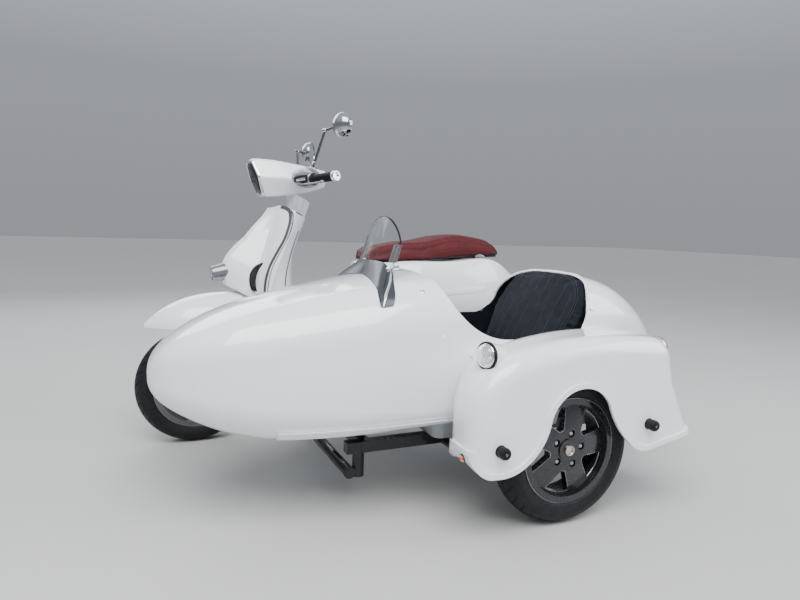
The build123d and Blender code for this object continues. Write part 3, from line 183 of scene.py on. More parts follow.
# Screen plate: steel whose dark tone is a painted reflection of grey surroundings.
PLATE_STEEL_PAINTED_REFLECTION = material("plate_steel_painted_reflection", (0.12, 0.127, 0.14), 0.24, (14.0, 0.04), (260.0, 0.015), metal=1.0)
STEEL = material("brushed_steel", (0.42, 0.43, 0.45), 0.3, (22.0, 0.05), (900.0, 0.1), kind="brushed", metal=1.0)
RIM_GREY = material("rim_grey", (0.15, 0.155, 0.17), 0.32, (30.0, 0.05), (1200.0, 0.06), metal=0.8, dust=0.10)
WHEEL_DARK = material(
    "wheel_dark", (0.036, 0.036, 0.042), 0.27, (24.0, 0.06), (1200.0, 0.05),
    metal=0.75, coat=0.6, dust=0.06
)
BEVEL = material("cut_alloy", (0.34, 0.35, 0.37), 0.2, (40.0, 0.04), (900.0, 0.05), metal=1.0)
ALLOY = material("cast_alloy", (0.33, 0.335, 0.34), 0.46, (40.0, 0.08), (800.0, 0.3), metal=0.9, dust=0.2)
ENGINE_BLACK = material("engine_black", (0.03, 0.031, 0.033), 0.48, (30.0, 0.1), (900.0, 0.25), metal=0.4, dust=0.2)
RED_VINYL = material(
    "red_vinyl", (0.090, 0.0125, 0.0150), 0.52, (7.0, 0.05), (700.0, 0.14),
    kind="leather", shine=0.16
)
BLACK_VINYL = material(
    "black_vinyl", (0.0075, 0.0098, 0.0165), 0.55, (7.0, 0.05), (640.0, 0.16),
    kind="leather", shine=0.1
)
THREAD = material("thread", (0.075, 0.085, 0.105), 0.8, (60.0, 0.05), (3000.0, 0.4), shine=0.1)
RED_THREAD = material("red_thread", (0.05, 0.008, 0.010), 0.8, (60.0, 0.05), (3000.0, 0.4), shine=0.1)
LINING = material("cockpit_lining", (0.011, 0.013, 0.019), 0.85, (30.0, 0.1), (1500.0, 0.6), shine=0.05)
CARPET = material("carpet", (0.012, 0.012, 0.014), 0.9, (60.0, 0.12), (1500.0, 0.9), sheen=0.3)
PAN_GREY = material("pan_grey", (0.42, 0.45, 0.48), 0.5, (10.0, 0.04), (260.0, 0.3), dust=0.15)
RED_LENS = material(
    "red_lens", (0.42, 0.010, 0.009), 0.14, (30.0, 0.05), (160.0, 0.5),
    kind="cells", coat=0.3, clear=0.1
)
AMBER_LENS = material(
    "amber_lens", (0.7, 0.16, 0.01), 0.12, (30.0, 0.05), (220.0, 0.5),
    kind="cells", coat=1.0, clear=0.25
)
DARK_LENS = material("dark_lens", (0.010, 0.011, 0.014), 0.2, (20.0, 0.2), (90.0, 0.12), kind="cells", shine=0.15)
CLEAR = material(
    "clear_lens", (0.93, 0.95, 0.96), 0.03, (30.0, 0.0), (130.0, 0.6),
    kind="cells", clear=1.0, ior=1.49
)
SCREEN = material("clear_screen", (0.97, 0.985, 0.99), 0.015, (4.0, 0.0), (60.0, 0.01), clear=1.0, ior=1.12)
MIRROR = material("mirror_glass", (0.86, 0.88, 0.9), 0.01, (8.0, 0.01), (20.0, 0.002), metal=1.0)
NICKEL = material("nickel", (0.62, 0.58, 0.52), 0.16, (40.0, 0.06), (500.0, 0.05), metal=1.0)
FLOOR = material("studio_floor", (0.50, 0.50, 0.49), 0.75, (0.8, 0.012), (120.0, 0.15))
NODE_FINISH = {
    WHITE: "sidecar_shell sidecar_mudguard headset leg_shield inner_shield horn_casting front_mudguard "
    "rear_body side_covers",
    PAN_GREY: "sidecar_floor",
    PLATE_STEEL_PAINTED_REFLECTION: "screen_bracket",
    STEEL: "exhaust",
    SCREEN: "windscreen",
    RUBBER: "rubber_buffers grips",
    BLACK_PAINT: "scooter_frame sidecar_frame sidecar_axle rear_fender centre_stand",
    TYRE: "front_tyre rear_tyre side_tyre",
    RIM_GREY: "front_rim rear_rim",
    WHEEL_DARK: "side_rim",
    SATIN: "switch_housings fork",
    CHROME: "lamp_bezel levers mirrors sidecar_lamp",
    DARK_LENS: "headlamp",
    BLACK_PLASTIC: "floorboard storage_bucket seat_base",
    RED_VINYL: "seat_cushion",
    BLACK_VINYL: "sidecar_seat sidecar_backrest",
    RED_LENS: "rear_lamps",
    ALLOY: "engine",
    ENGINE_BLACK: "rear_shock",
}
for finish, names in NODE_FINISH.items():
    for name in names.split():
        NODES[name].data.materials.clear()
        NODES[name].data.materials.append(finish)


# Mesh helpers
def linked(name, data):
    """A new object with that data, in the scene."""
    made = bpy.data.objects.new(name, data)
    bpy.context.scene.collection.objects.link(made)
    return made


def finish_piece(name, source, finish, body="root", sharp=35.0):
    """A shown piece from a bmesh, smooth but for edges above the sharp angle."""
    mesh = bpy.data.meshes.new(name)
    source.to_mesh(mesh)
    source.free()
    bm = bmesh.new()
    bm.from_mesh(mesh)
    for face in bm.faces:
        face.smooth = True
    for edge in bm.edges:
        if len(edge.link_faces) == 2:
            edge.smooth = edge.calc_face_angle(0.0) < radians(sharp)
    bm.to_mesh(mesh)
    bm.free()
    mesh.materials.append(finish)
    made = linked(name, mesh)
    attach(made, body)
    return made


def side_frame(direction, near=UP):
    """Two unit vectors square to the direction and to each other."""
    if abs(direction.normalized().dot(near)) > 0.95:
        near = Vector((1, 0, 0))
    first = direction.cross(near).normalized()
    return first, direction.normalized().cross(first)


def add_rings(bm, rings, closed_rings=True, closed_path=False, caps=True):
    """Skin the rings of points with quads."""
    rows = [[bm.verts.new(p) for p in ring] for ring in rings]
    count = len(rows[0])
    pairs = list(zip(rows, rows[1:]))
    if closed_path:
        pairs.append((rows[-1], rows[0]))
    for a, b in pairs:
        for i in range(count if closed_rings else count - 1):
            j = (i + 1) % count
            bm.faces.new((a[i], a[j], b[j], b[i]))
    if caps and closed_rings and not closed_path:
        bm.faces.new(rows[0][::-1])
        bm.faces.new(rows[-1])
    return rows


def lathe(bm, origin, axis, profile, steps=32):
    """Turn (distance along the axis, radius) points in millimetres round an axis."""
    first, second = side_frame(axis)
    unit = axis.normalized()
    rings = []
    for angle in circle(steps):
        outward = first * cos(angle) + second * sin(angle)
        rings.append([origin + (unit * h + outward * r) * MM for h, r in profile])
    rows = add_rings(bm, rings, closed_rings=False, closed_path=True)
    for end in (0, -1):
        loop = [row[end] for row in rows]
        if profile[end][1] > 1e-6:
            bm.faces.new(loop if end else loop[::-1])
    bmesh.ops.remove_doubles(bm, verts=bm.verts, dist=1e-7)


def turned(name, finish, body, *parts):
    """A piece of turned parts, each (origin, axis, profile, steps)."""
    bm = bmesh.new()
    for part in parts:
        lathe(bm, *part)
    return finish_piece(name, bm, finish, body)


def circle(count):
    """Angles of that many even steps round a circle."""
    return [2 * pi * k / count for k in range(count)]


def tube(bm, points, radius, sides=10, closed=False):
    """A round bar along the points (frame metres), radius in millimetres or a list of them."""
    count = len(points)
    radii = radius if isinstance(radius, (list, tuple)) else [radius] * count
    rings = []
    across = None
    for k, point in enumerate(points):
        before = points[(k - 1) % count] if closed or k else points[0]
        after = points[(k + 1) % count] if closed or k < count - 1 else points[-1]
        heading = (after - before).normalized()
        if across is None:
            across = side_frame(heading)[0]
        across = (across - heading * across.dot(heading)).normalized()
        up = heading.cross(across)
        rings.append(
            [
                point + (across * cos(a) + up * sin(a)) * radii[k] * MM
                for a in circle(sides)
            ]
        )
    add_rings(bm, rings, closed_path=closed)


def smooth_path(points, per_span=8):
    """Points along a Catmull-Rom curve through the given ones."""
    points = [Vector(p) for p in points]
    padded = [2 * points[0] - points[1], *points, 2 * points[-1] - points[-2]]
    path = []
    for a, b, c, d in zip(padded, padded[1:], padded[2:], padded[3:]):
        for k in range(per_span):
            t = k / per_span
            bend, twist = 2 * a - 5 * b + 4 * c - d, 3 * b - a - 3 * c + d
            path.append(0.5 * (2 * b + (c - a) * t + bend * t**2 + twist * t**3))
    path.append(points[-1])
    return path


def arc_points(p0, p1, p2, count):
    """Points on the circle through three 2-D points, from the first to the last."""
    (ax, ay), (bx, by), (cx, cy) = p0, p1, p2
    d = 2 * (ax * (by - cy) + bx * (cy - ay) + cx * (ay - by))
    a2, b2, c2 = ax * ax + ay * ay, bx * bx + by * by, cx * cx + cy * cy
    ux = (a2 * (by - cy) + b2 * (cy - ay) + c2 * (ay - by)) / d
    uy = (a2 * (cx - bx) + b2 * (ax - cx) + c2 * (bx - ax)) / d
    start = atan2(ay - uy, ax - ux)
    turn = atan2(cy - uy, cx - ux) - start
    middle = (atan2(by - uy, bx - ux) - start) % (2 * pi)
    turn %= 2 * pi
    if middle > turn:
        turn -= 2 * pi
    radius = hypot(ax - ux, ay - uy)
    return [
        (ux + radius * cos(start + turn * k / count), uy + radius * sin(start + turn * k / count))
        for k in range(count + 1)
    ]


def tree_of(*names):
    """Surfaces of CAD nodes or pieces, for placing things on them."""
    points, faces = [], []
    for name in names:
        mesh = (NODES.get(name) or bpy.data.objects[name]).data
        base = len(points)
        points += [v.co.copy() for v in mesh.vertices]
        faces += [[base + i for i in p.vertices] for p in mesh.polygons]
    return BVHTree.FromPolygons(points, faces)


def pixel_ray(px, py):
    """Direction of the photo's pixel, from the camera."""
    across, down = (px - IMAGE[0] / 2), (py - IMAGE[1] / 2)
    return (forward + view_right * across / FOCAL_PX - view_up * down / FOCAL_PX).normalized()


def hit(tree, start, way):
    """Where the ray meets the surface and the normal there, or None twice."""
    return tree.ray_cast(start, way)[:2]


def seen_at(tree, px, py):
    """Where the photo's pixel meets the surface, and the surface's normal there."""
    place, normal = hit(tree, EYE, pixel_ray(px, py))
    if place is None:
        raise ValueError(f"nothing at pixel {px}, {py}")
    return place, normal


def mirrored(point, plane_y=0.0):
    """The point's image in the lengthways plane at that datum y."""
    return Vector((point.x, 2 * (DATUM.y + plane_y * MM) - point.y, point.z))


def hex_head(bm, place, normal, radius):
    """A hexagon bolt head with its washer, standing on a surface."""
    lathe(bm, place, normal, [(-1, radius * 1.25), (1.2, radius * 1.25), (1.6, radius * 1.15), (1.6, 0)], 20)
    flats = [(1, radius), (radius * 0.8, radius), (radius * 0.95, radius * 0.86), (radius * 0.95, 0)]
    lathe(bm, place, normal, flats, 6)


def socket_head(bm, place, normal, radius):
    """A socket screw head standing on a surface."""
    profile = [(-1, radius), (4, radius), (4.8, radius * 0.88), (4.8, radius * 0.5), (1.5, radius * 0.45), (1.5, 0)]
    lathe(bm, place, normal, profile, 16)


def heading_at(path, k):
    """Unit direction of the path at its point k."""
    return (path[min(k + 1, len(path) - 1)] - path[max(k - 1, 0)]).normalized()


BAND_OUTLINE = (
    *((-0.5, -0.4), (-0.5, 0.45), (-0.36, 0.85), (-0.12, 1)),
    *((0.12, 1), (0.36, 0.85), (0.5, 0.45), (0.5, -0.4)),
)


def band(bm, path, normals, width, height):
    """A rounded strip along the path: flat on the surface whose normals are given."""
    rings = []
    for k, point in enumerate(path):
        heading = heading_at(path, k)
        up = (normals[k] - heading * normals[k].dot(heading)).normalized()
        across = heading.cross(up)
        rings.append([point + (across * u * width + up * (v * height)) * MM for u, v in BAND_OUTLINE])
    add_rings(bm, rings)


# Tyres: ribbed sidewalls and angled tread grooves cut in step with the mesh's own grid
BEAD_SEAT = 152.4
PITCHES = 34
PITCH_STEPS = (
    # share of a pitch, cut on the left, cut on the right
    (0.000, 0, 0),
    (0.018, 1, 0),
    (0.115, 1, 0),
    (0.135, 0, 0),
    (0.310, 0, 0),
    (0.500, 0, 0),
    (0.518, 0, 1),
    (0.615, 0, 1),
    (0.635, 0, 0),
    (0.810, 0, 0),
)


def tyre(wheel, x, y, radius, width):
    """A tyre of the CAD tyre's size, with tread."""
    wall = radius - BEAD_SEAT
    bead = width / 2 - 13
    shoulder = (0.44 * width, radius - 0.24 * wall)
    side = arc_points((bead, 163.4), (width / 2, radius - 0.52 * wall), shoulder, 16)
    crown = arc_points(shoulder, (0, radius), (-shoulder[0], shoulder[1]), 36)
    profile = [(bead - 2, 151, 0), (bead + 0.5, 156, 0)]
    for k, (u, r) in enumerate(side[:-1]):
        step = {2: 1.6, 3: 1.6, 4: 0.2, 9: 0.7, 10: 0.7, 14: -0.8}.get(k, 0)
        profile.append((u + step, r, 0))
    for u, r in crown:
        reach = abs(u) / shoulder[0]
        cut = 0.0 if reach < 0.10 or reach > 0.93 else 3.6
        groove = 3.2 if 0.30 < reach < 0.36 else 0.0
        profile.append((u, r - groove, cut if not groove else 0.6))
    profile += [(-u, r, cut) for u, r, cut in reversed(profile[: 2 + len(side) - 1])]
    hub = at(x, y, radius)
    rings = []
    for pitch in range(PITCHES):
        for share, left_cut, right_cut in PITCH_STEPS:
            ring = []
            for u, r, cut in profile:
                sweep = 0.17 * (abs(u) / shoulder[0]) ** 1.4 if cut or abs(u) < shoulder[0] else 0.17
                angle = 2 * pi * (pitch + share) / PITCHES + sweep
                depth = cut * (left_cut if u > 0 else right_cut)
                reach = (r - depth) * MM
                ring.append(hub + Vector((reach * cos(angle), u * MM, reach * sin(angle))))
            rings.append(ring)
    bm = bmesh.new()
    add_rings(bm, rings, closed_path=True)
    made = finish_piece(f"{wheel}_tyre_tread", bm, TYRE, f"{wheel}_wheel", sharp=40)
    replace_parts(made, f"{wheel}_tyre")


WHEELS = (
    # name, x, y, radius, tyre width
    ("front", 0, 0, 229, 110),
    ("rear", -1340, 0, 236, 120),
    ("side", -960, TRACK, 233.5, 112),
)
for wheel in WHEELS:
    tyre(*wheel)


# Upholstery: the CAD solid remeshed, blown up a little as cloth, then sewn
VOXEL = 0.0055
CLOTH_FRAMES = 20


def baked(obj):
    """The object's mesh with its modifiers applied, and the modifiers gone."""
    view = bpy.context.evaluated_depsgraph_get()
    mesh = bpy.data.meshes.new_from_object(obj.evaluated_get(view), depsgraph=view)
    obj.modifiers.clear()
    old = obj.data
    obj.data = mesh
    bpy.data.meshes.remove(old)
    return obj


def upholster(name, node, finish, body, shape, pinned, pressure, cap):
    """A padded piece from a CAD node: shape(co) moulds it, pinned(co) keeps what rests."""
    mesh = NODES[node].data.copy()
    for vertex in mesh.vertices:
        vertex.co = shape(vertex.co)
    obj = linked(name, mesh)
    remesh = obj.modifiers.new("remesh", "REMESH")
    remesh.mode = "VOXEL"
    remesh.voxel_size = VOXEL
    smooth = obj.modifiers.new("smooth", "SMOOTH")
    smooth.factor = 0.5
    smooth.iterations = 6
    baked(obj)
    rest = [v.co.copy() for v in obj.data.vertices]
    held = obj.vertex_groups.new(name="held")
    held.add([v.index for v in obj.data.vertices if pinned(v.co)], 1.0, "REPLACE")
    cloth = obj.modifiers.new("cloth", "CLOTH")
    cloth.settings.quality = 4
    cloth.settings.mass = 0.4
    cloth.settings.tension_stiffness = 12
    cloth.settings.bending_stiffness = 0.8
    cloth.settings.use_pressure = True
    cloth.settings.uniform_pressure_force = pressure
    cloth.settings.effector_weights.gravity = 0
    cloth.settings.vertex_group_mass = "held"
    cloth.collision_settings.use_collision = False
    for step in range(1, CLOTH_FRAMES + 1):
        bpy.context.scene.frame_set(step)
    baked(obj)
    bpy.context.scene.frame_set(1)
    for vertex, before in zip(obj.data.vertices, rest):
        moved = vertex.co - before
        if moved.length > cap:
            vertex.co = before + moved * (cap / moved.length)
    rounding = obj.modifiers.new("round", "SUBSURF")
    rounding.levels = rounding.render_levels = 1
    baked(obj)
    obj.data.shade_smooth()
    obj.data.materials.clear()
    obj.data.materials.append(finish)
    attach(obj, body)
    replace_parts(obj, node)
    return obj


def sew(obj, depth_at):
    """Draws the surface in along its normal by depth_at(co, normal), in millimetres."""
    mesh = obj.data
    normals = [n.vector.copy() for n in mesh.vertex_normals]
    for vertex, normal in zip(mesh.vertices, normals):
        depth = depth_at(vertex.co, normal)
        if depth:
            vertex.co -= normal * depth * MM
    mesh.update()


def groove(distance, half_width):
    """1 at the line, falling smoothly to 0 at the half width."""
    share = abs(distance) / half_width
    return 0.0 if share >= 1 else (1 - share * share) ** 2


def stitches(name, lines, finish, body, length=5.2, gap=2.6, radius=0.8):
    """A row of short threads along each line of (place, normal) points."""
    bm = bmesh.new()
    for line in lines:
        path = [p + n * 0.4 * MM for p, n in line]
        run, k = 0.0, 0
        points, lengths = [path[0]], [0.0]
        for a, b in zip(path, path[1:]):
            run += (b - a).length
            points.append(b)
            lengths.append(run)

        def along(s):
            for i in range(1, len(lengths)):
                if lengths[i] >= s:
                    t = (s - lengths[i - 1]) / max(1e-9, lengths[i] - lengths[i - 1])
                    return points[i - 1].lerp(points[i], t)
            return points[-1]

        pitch = (length + gap) * MM
        while (k + 1) * pitch < run:
            a, b = along(k * pitch), along(k * pitch + length * MM)
            middle = (a + b) / 2
            thread = [a, a.lerp(middle, 0.4), middle, b.lerp(middle, 0.4), b]
            tube(bm, thread, [0.45 * radius, radius, radius, radius, 0.45 * radius], 6)
            k += 1
    return finish_piece(name, bm, finish, body, sharp=60)


def dropped(tree, points, direction):
    """The points carried along a direction onto a surface, with its normals."""
    found = []
    for point in points:
        place, normal = hit(tree, point - direction * 0.4, direction)
        if place is not None:
            found.append((place, normal))
    return found


# Sidecar backrest: leaning panel with a rolled border and upright sewn channels
BACK_LEAN = radians(28)
BACK_FOOT = at(-1072, BODY_Y, 385)
BACK_UP = Vector((-sin(BACK_LEAN), 0, cos(BACK_LEAN)))
BACK_OUT = Vector((cos(BACK_LEAN), 0, sin(BACK_LEAN)))
BACK_THICK = 62
CHANNEL_PITCH = 50
BORDER = 42
CAD_BACK_TALL = 412
BACK_OUTLINE = (
    # height up the panel, half width
    *((0, 205), (120, 238), (190, 253), (245, 256), (298, 247)),
    *((345, 221), (382, 178), (404, 124), (417, 66), (421, 0)),
)
BACK_TALL = BACK_OUTLINE[-1][0]


def cad_half_width(t):
    """Half width of the CAD panel at t millimetres up it."""
    if t < 190:
        return 205 + (252 - 205) * max(0, t) / 190
    share = min(1.0, (t - 190) / (CAD_BACK_TALL - 190))
    return 252 * sqrt(max(0.0, 1 - share**2.3))


def back_half_width(t):
    """Half width of the cushion at t millimetres up it."""
    if t >= BACK_TALL:
        return 0.0
    for (t0, w0), (t1, w1) in zip(BACK_OUTLINE, BACK_OUTLINE[1:]):
        if t <= t1:
            return w0 + (w1 - w0) * max(0.0, t - t0) / (t1 - t0)


def back_place(co):
    """Across, up and out of the back panel, in millimetres."""
    d = (co - BACK_FOOT) / MM
    return d.y, d.dot(BACK_UP), d.dot(BACK_OUT)


def back_shape(co):
    """Moves a point of the CAD panel onto the cushion's own outline."""
    across, up, out = back_place(co)
    ratio = min(1.12, back_half_width(up * BACK_TALL / CAD_BACK_TALL) / max(30, cad_half_width(up)))
    shown_up = up if up < 0 else up * BACK_TALL / CAD_BACK_TALL
    half = max(40, back_half_width(shown_up))
    crown = min(1, (abs(across * ratio) / half) ** 3)
    thin = 1 - 0.1 * max(0.0, min(1.0, (up - 20) / 170))
    shown_out = out * thin - (5 + 5 * crown if out > BACK_THICK * 0.5 else 0)
    return BACK_FOOT + (Vector((0, across * ratio, 0)) + BACK_UP * shown_up + BACK_OUT * shown_out) * MM


backrest = upholster(
    "sidecar_back_cushion",
    "sidecar_backrest",
    BLACK_VINYL,
    "root",
    back_shape,
    lambda co: back_place(co)[2] < 6,
    pressure=4,
    cap=0.009,
)


BODY_CENTRE_Y = at(0, BODY_Y, 0).y
shell_tree = tree_of("sidecar_shell")


def keep_inside(obj, height=0.48, gap=0.0035):
    """Draws back what would pass through the sidecar body, but not through its opening."""
    for vertex in obj.data.vertices:
        start = Vector((vertex.co.x, BODY_CENTRE_Y, height))
        way = vertex.co - start
        place, normal, index, distance = shell_tree.ray_cast(start, way.normalized())
        if place is not None and distance < way.length + gap:
            vertex.co = start + way.normalized() * (distance - gap)


keep_inside(backrest)


def back_border(across, up):
    """Millimetres inside the panel's edge."""
    rim = 1e9
    for (t0, w0), (t1, w1) in zip(BACK_OUTLINE, BACK_OUTLINE[1:]):
        along = Vector((w1 - w0, t1 - t0))
        offset = Vector((abs(across) - w0, up - t0))
        share = max(0.0, min(1.0, offset.dot(along) / along.length_squared))
        rim = min(rim, (offset - along * share).length)
    return rim


def back_depth(co, normal):
    """Depth of the border seam and the upright channels."""
    if normal.dot(BACK_OUT) < 0.25:
        return 0.0
    across, up, out = back_place(co)
    rim = back_border(across, up)
    depth = 1.5 * groove(rim - BORDER, 5)
    if rim > BORDER:
        nearest = round(across / CHANNEL_PITCH - 0.5) + 0.5
        ease = min(1.0, (rim - BORDER) / 12)
        depth = max(depth, 0.6 * ease * groove(across - nearest * CHANNEL_PITCH, 4))
    return depth


def inside_border(across, up, inset):
    """Whether the place on the panel is that far inside its edge."""
    return abs(across) < back_half_width(up) and up > 0 and back_border(across, up) > inset


def above_back(across, up):
    """Point 200 mm in front of the panel at that place on it."""
    return BACK_FOOT + Vector((0, across * MM, 0)) + BACK_UP * up * MM + BACK_OUT * 0.2


BORDER_CENTRE = 150
sew(backrest, back_depth)
back_tree = tree_of("sidecar_back_cushion")
back_lines = []
for k in range(-4, 4):
    across = (k + 0.5) * CHANNEL_PITCH
    row = [above_back(across, t) for t in range(40, BACK_TALL, 8) if inside_border(across, t, BORDER)]
    if len(row) > 3:
        back_lines.append(dropped(back_tree, row, -BACK_OUT))
for inset in (BORDER - 5, BORDER + 5):
    rim_line = []
    for k in range(-60, 61):
        angle = k / 60 * 2.25
        across, up = sin(angle), cos(angle)
        reach = 0
        while inside_border(reach * across, BORDER_CENTRE + reach * up, inset):
            reach += 1
        rim_line.append(above_back(reach * across, BORDER_CENTRE + reach * up))
    back_lines.append(dropped(back_tree, rim_line, -BACK_OUT))
stitches("sidecar_back_stitches", [line for line in back_lines if len(line) > 3], THREAD, "root", radius=0.9)


# Sidecar seat cushion: boxed, with fore-and-aft channels
def seat_shape(co):
    """Lowers the cushion's upper part by 5 mm."""
    d = (co - at(-920, BODY_Y, 408)) / MM
    return co - Vector((0, 0, 5 * MM)) if d.z > -40 else co


seat_pad = upholster(
    "sidecar_seat_cushion",
    "sidecar_seat",
    BLACK_VINYL,
    "root",
    seat_shape,
    lambda co: co.z < 0.318,
    pressure=4,
    cap=0.010,
)
sew(
    seat_pad,
    lambda co, normal: 0.0
    if normal.z < 0.4
    else 1.5 * groove(((co.y - at(0, BODY_Y, 0).y) / MM) % CHANNEL_PITCH - CHANNEL_PITCH / 2, 5),
)

# Scooter saddle: narrow nose, raised pillion part, falling tail
SEAT_TOP_LINE = (
    # x, height of the crest
    (-690, 786),
    (-706, 804),
    (-740, 815),
    (-800, 819),
    (-888, 821),
    (-940, 823),
    (-1000, 834),
    (-1062, 849),
    (-1130, 857),
    (-1208, 861),
    (-1280, 852),
    (-1320, 834),
    (-1352, 806),
    (-1382, 782),
)
CAD_SADDLE_TOP = (
    *((-640, 804), (-880, 818), (-950, 832), (-1060, 848)),
    *((-1200, 855), (-1290, 844), (-1380, 780), (-1400, 778)),
)


def read_line(table, x):
    """Value of a table of falling x, joined by straight lines."""
    if x >= table[0][0]:
        return table[0][1]
    for (x0, v0), (x1, v1) in zip(table, table[1:]):
        if x >= x1:
            t = (x0 - x) / (x0 - x1)
            return v0 + (v1 - v0) * t
    return table[-1][1]


CAD_SADDLE_FOOT = ((-690, 754), (-1400, 777))
SADDLE_FOOT = (
    # x, height of the pad's lower edge
    (-690, 738),
    (-924, 748),
    (-1108, 757),
    (-1262, 767),
    (-1400, 777),
)


def saddle_top(x):
    """Height of the saddle's crest, smoothed along x."""
    return sum(read_line(SEAT_TOP_LINE, x + shift) for shift in (-16, -8, 0, 8, 16)) / 5


def saddle_shape(co):
    """Moves a point of the CAD saddle between its own foot and top lines to the pad's."""
    d = (co - DATUM) / MM
    cad_foot, foot = read_line(CAD_SADDLE_FOOT, d.x), read_line(SADDLE_FOOT, d.x)
    share = max(0.0, min(1.0, (d.z - cad_foot) / (read_line(CAD_SADDLE_TOP, d.x) - cad_foot)))
    top = max(foot + 2, saddle_top(d.x) - 5)
    crown = 6 * min(1, (abs(d.y) / 140) ** 2)
    crown = min(crown, 0.2 * (top - foot))
    return Vector((co.x, co.y + d.y * (0.015 - 0.055 * share) * MM, (foot + share * (top - crown - foot)) * MM))


saddle = upholster(
    "saddle_cushion",
    "seat_cushion",
    RED_VINYL,
    "seat",
    saddle_shape,
    lambda co: co.z < (read_line(SADDLE_FOOT, (co.x - DATUM.x) / MM) + 6) * MM,
    pressure=4,
    cap=0.009,
)
SADDLE_SEAMS = (0.42, 0.72)


def saddle_depth(co, normal):
    """Depth of the side seams and the channels on top."""
    d = (co - DATUM) / MM
    foot = read_line(SADDLE_FOOT, d.x)
    tall = max(8, saddle_top(d.x) - foot)
    lines = 0.0
    if normal.z < 0.8:
        lines = max(0.7 * groove((d.z - foot) - share * tall, 3.5) for share in SADDLE_SEAMS)
    across = 0.0
    if normal.z > 0.7 and -1290 < d.x < -735:
        across = 0.8 * groove((abs(d.y) % 38) - 19, 4)
    return max(lines, across)


sew(saddle, saddle_depth)
saddle_tree = tree_of("saddle_cushion")


SADDLE_MIDDLE = -1020


def saddle_seam(height_at):
    """Points round the saddle at height_at(x) millimetres, with normals."""
    found = []
    middle = Vector((SADDLE_MIDDLE * MM + DATUM.x, DATUM.y, 0))
    for angle in circle(180):
        outward = Vector((cos(angle) * 2.2, sin(angle), 0)).normalized()
        z = height_at((middle.x + outward.x * 0.32 - DATUM.x) / MM) * MM
        start = Vector((middle.x + outward.x * 0.6, middle.y + outward.y * 0.6, z))
        place, normal = hit(saddle_tree, start, -outward)
        if place is not None:
            found.append((place, normal))
    return found


hem = saddle_seam(lambda x: read_line(SADDLE_FOOT, x) + 6)
bm = bmesh.new()
tube(bm, [p - n * 0.4 * MM for p, n in hem], 2.2, 8, closed=True)
finish_piece("saddle_hem", bm, BLACK_VINYL, "seat")
seam_rows = []
for share in SADDLE_SEAMS:
    row = saddle_seam(lambda x: read_line(SADDLE_FOOT, x) + share * (saddle_top(x) - read_line(SADDLE_FOOT, x)))
    seam_rows.append([(p, n) for p, n in row if n.z < 0.85])
stitches("saddle_stitches", seam_rows, RED_THREAD, "seat", length=4.5, gap=2.2, radius=0.45)

# Cockpit edge: a rolled rim of the body's own colour, thicker round the seat back
COCKPIT_LINE = (
    # x, z along the side view of the opening, from the crown behind the screen to the rear crown
    *arc_points((-612, 722), (-690, 603), (-830, 552), 14),
    *((x, 552) for x in range(-850, -1060, -30)),
    *arc_points((-1060, 552), (-1116, 580), (-1146, 640), 8),
    *arc_points((-1146, 640), (-1186, 712), (-1262, 760), 12)[1:],
)


def body_side(x, z):
    """The body's left surface and normal at that datum x and z, or None where there is none."""
    place, normal = hit(shell_tree, at(x, 1300, z), -LEFT)
    return (place, normal) if place is not None and place.y > BODY_CENTRE_Y else None


def body_top(x, y):
    """The body's upper surface at that datum x and y."""
    return hit(shell_tree, at(x, y, 1000), -UP)


EDGE_SUNK = 3.6


def rim_half(points, inset):
    """Surface points just outside the opening's side-view line, as far as they reach."""
    found = []
    for k, (x, z) in enumerate(points):
        ahead, behind = points[min(k + 1, len(points) - 1)], points[max(k - 1, 0)]
        along = Vector((ahead[0] - behind[0], ahead[1] - behind[1])).normalized()
        hit = body_side(x - along.y * inset, z + along.x * inset)
        if hit:
            found.append(hit[0] - hit[1] * EDGE_SUNK * MM)
    return found


def cockpit_rim():
    """Black edging along both sides of the opening, and the thicker white rim behind the seat."""
    left = rim_half(list(COCKPIT_LINE), 2.0)
    split = at(-1128, 0, 0).x
    ahead = [p for p in left if p.x >= split]
    behind = [p for p in left if p.x < split]
    bm = bmesh.new()
    for line in (ahead[3:], [mirrored(p, BODY_Y) for p in ahead[3:]]):
        tube(bm, smooth_path(line, 4), 2.6, 10)
    finish_piece("cockpit_edging", bm, RUBBER)
    bm = bmesh.new()
    half = [ahead[-1], *behind]
    path = smooth_path([*half, *(mirrored(p, BODY_Y) for p in half[::-1])], 4)
    ends = len(path) - 1
    tube(bm, path, [2.6 + 3.6 * min(1.0, k / 8, (ends - k) / 8) for k in range(len(path))], 12)
    finish_piece("cockpit_rim", bm, WHITE)


cockpit_rim()


LINING_GAP = 2.2


def cockpit_lining():
    """Black cloth on the body's inner face, up to the opening's edge."""
    rows = []
    stations = [*range(-300, -600, -30), *range(-600, -780, -9), *range(-780, -1250, -26)]
    for x in stations:
        centre = at(x, BODY_Y, 470)

        def wall(angle):
            way = Vector((0, sin(angle), -cos(angle)))
            place = hit(shell_tree, centre, way)[0]
            return None if place is None else place - way * LINING_GAP * MM

        reach = 0.0
        while reach < pi and wall(reach) is not None:
            reach += 0.02
        reach = min(reach - 0.02, pi - 0.001)
        half = [wall(reach * k / 20) for k in range(21)]
        rows.append([mirrored(p, BODY_Y) for p in half[:0:-1]] + half)
    bm = bmesh.new()
    add_rings(bm, rows, closed_rings=False)
    loop = [v for v in bm.verts][: len(rows[0])]
    bm.faces.new(loop)
    finish_piece("cockpit_lining", bm, LINING, sharp=80)


cockpit_lining()

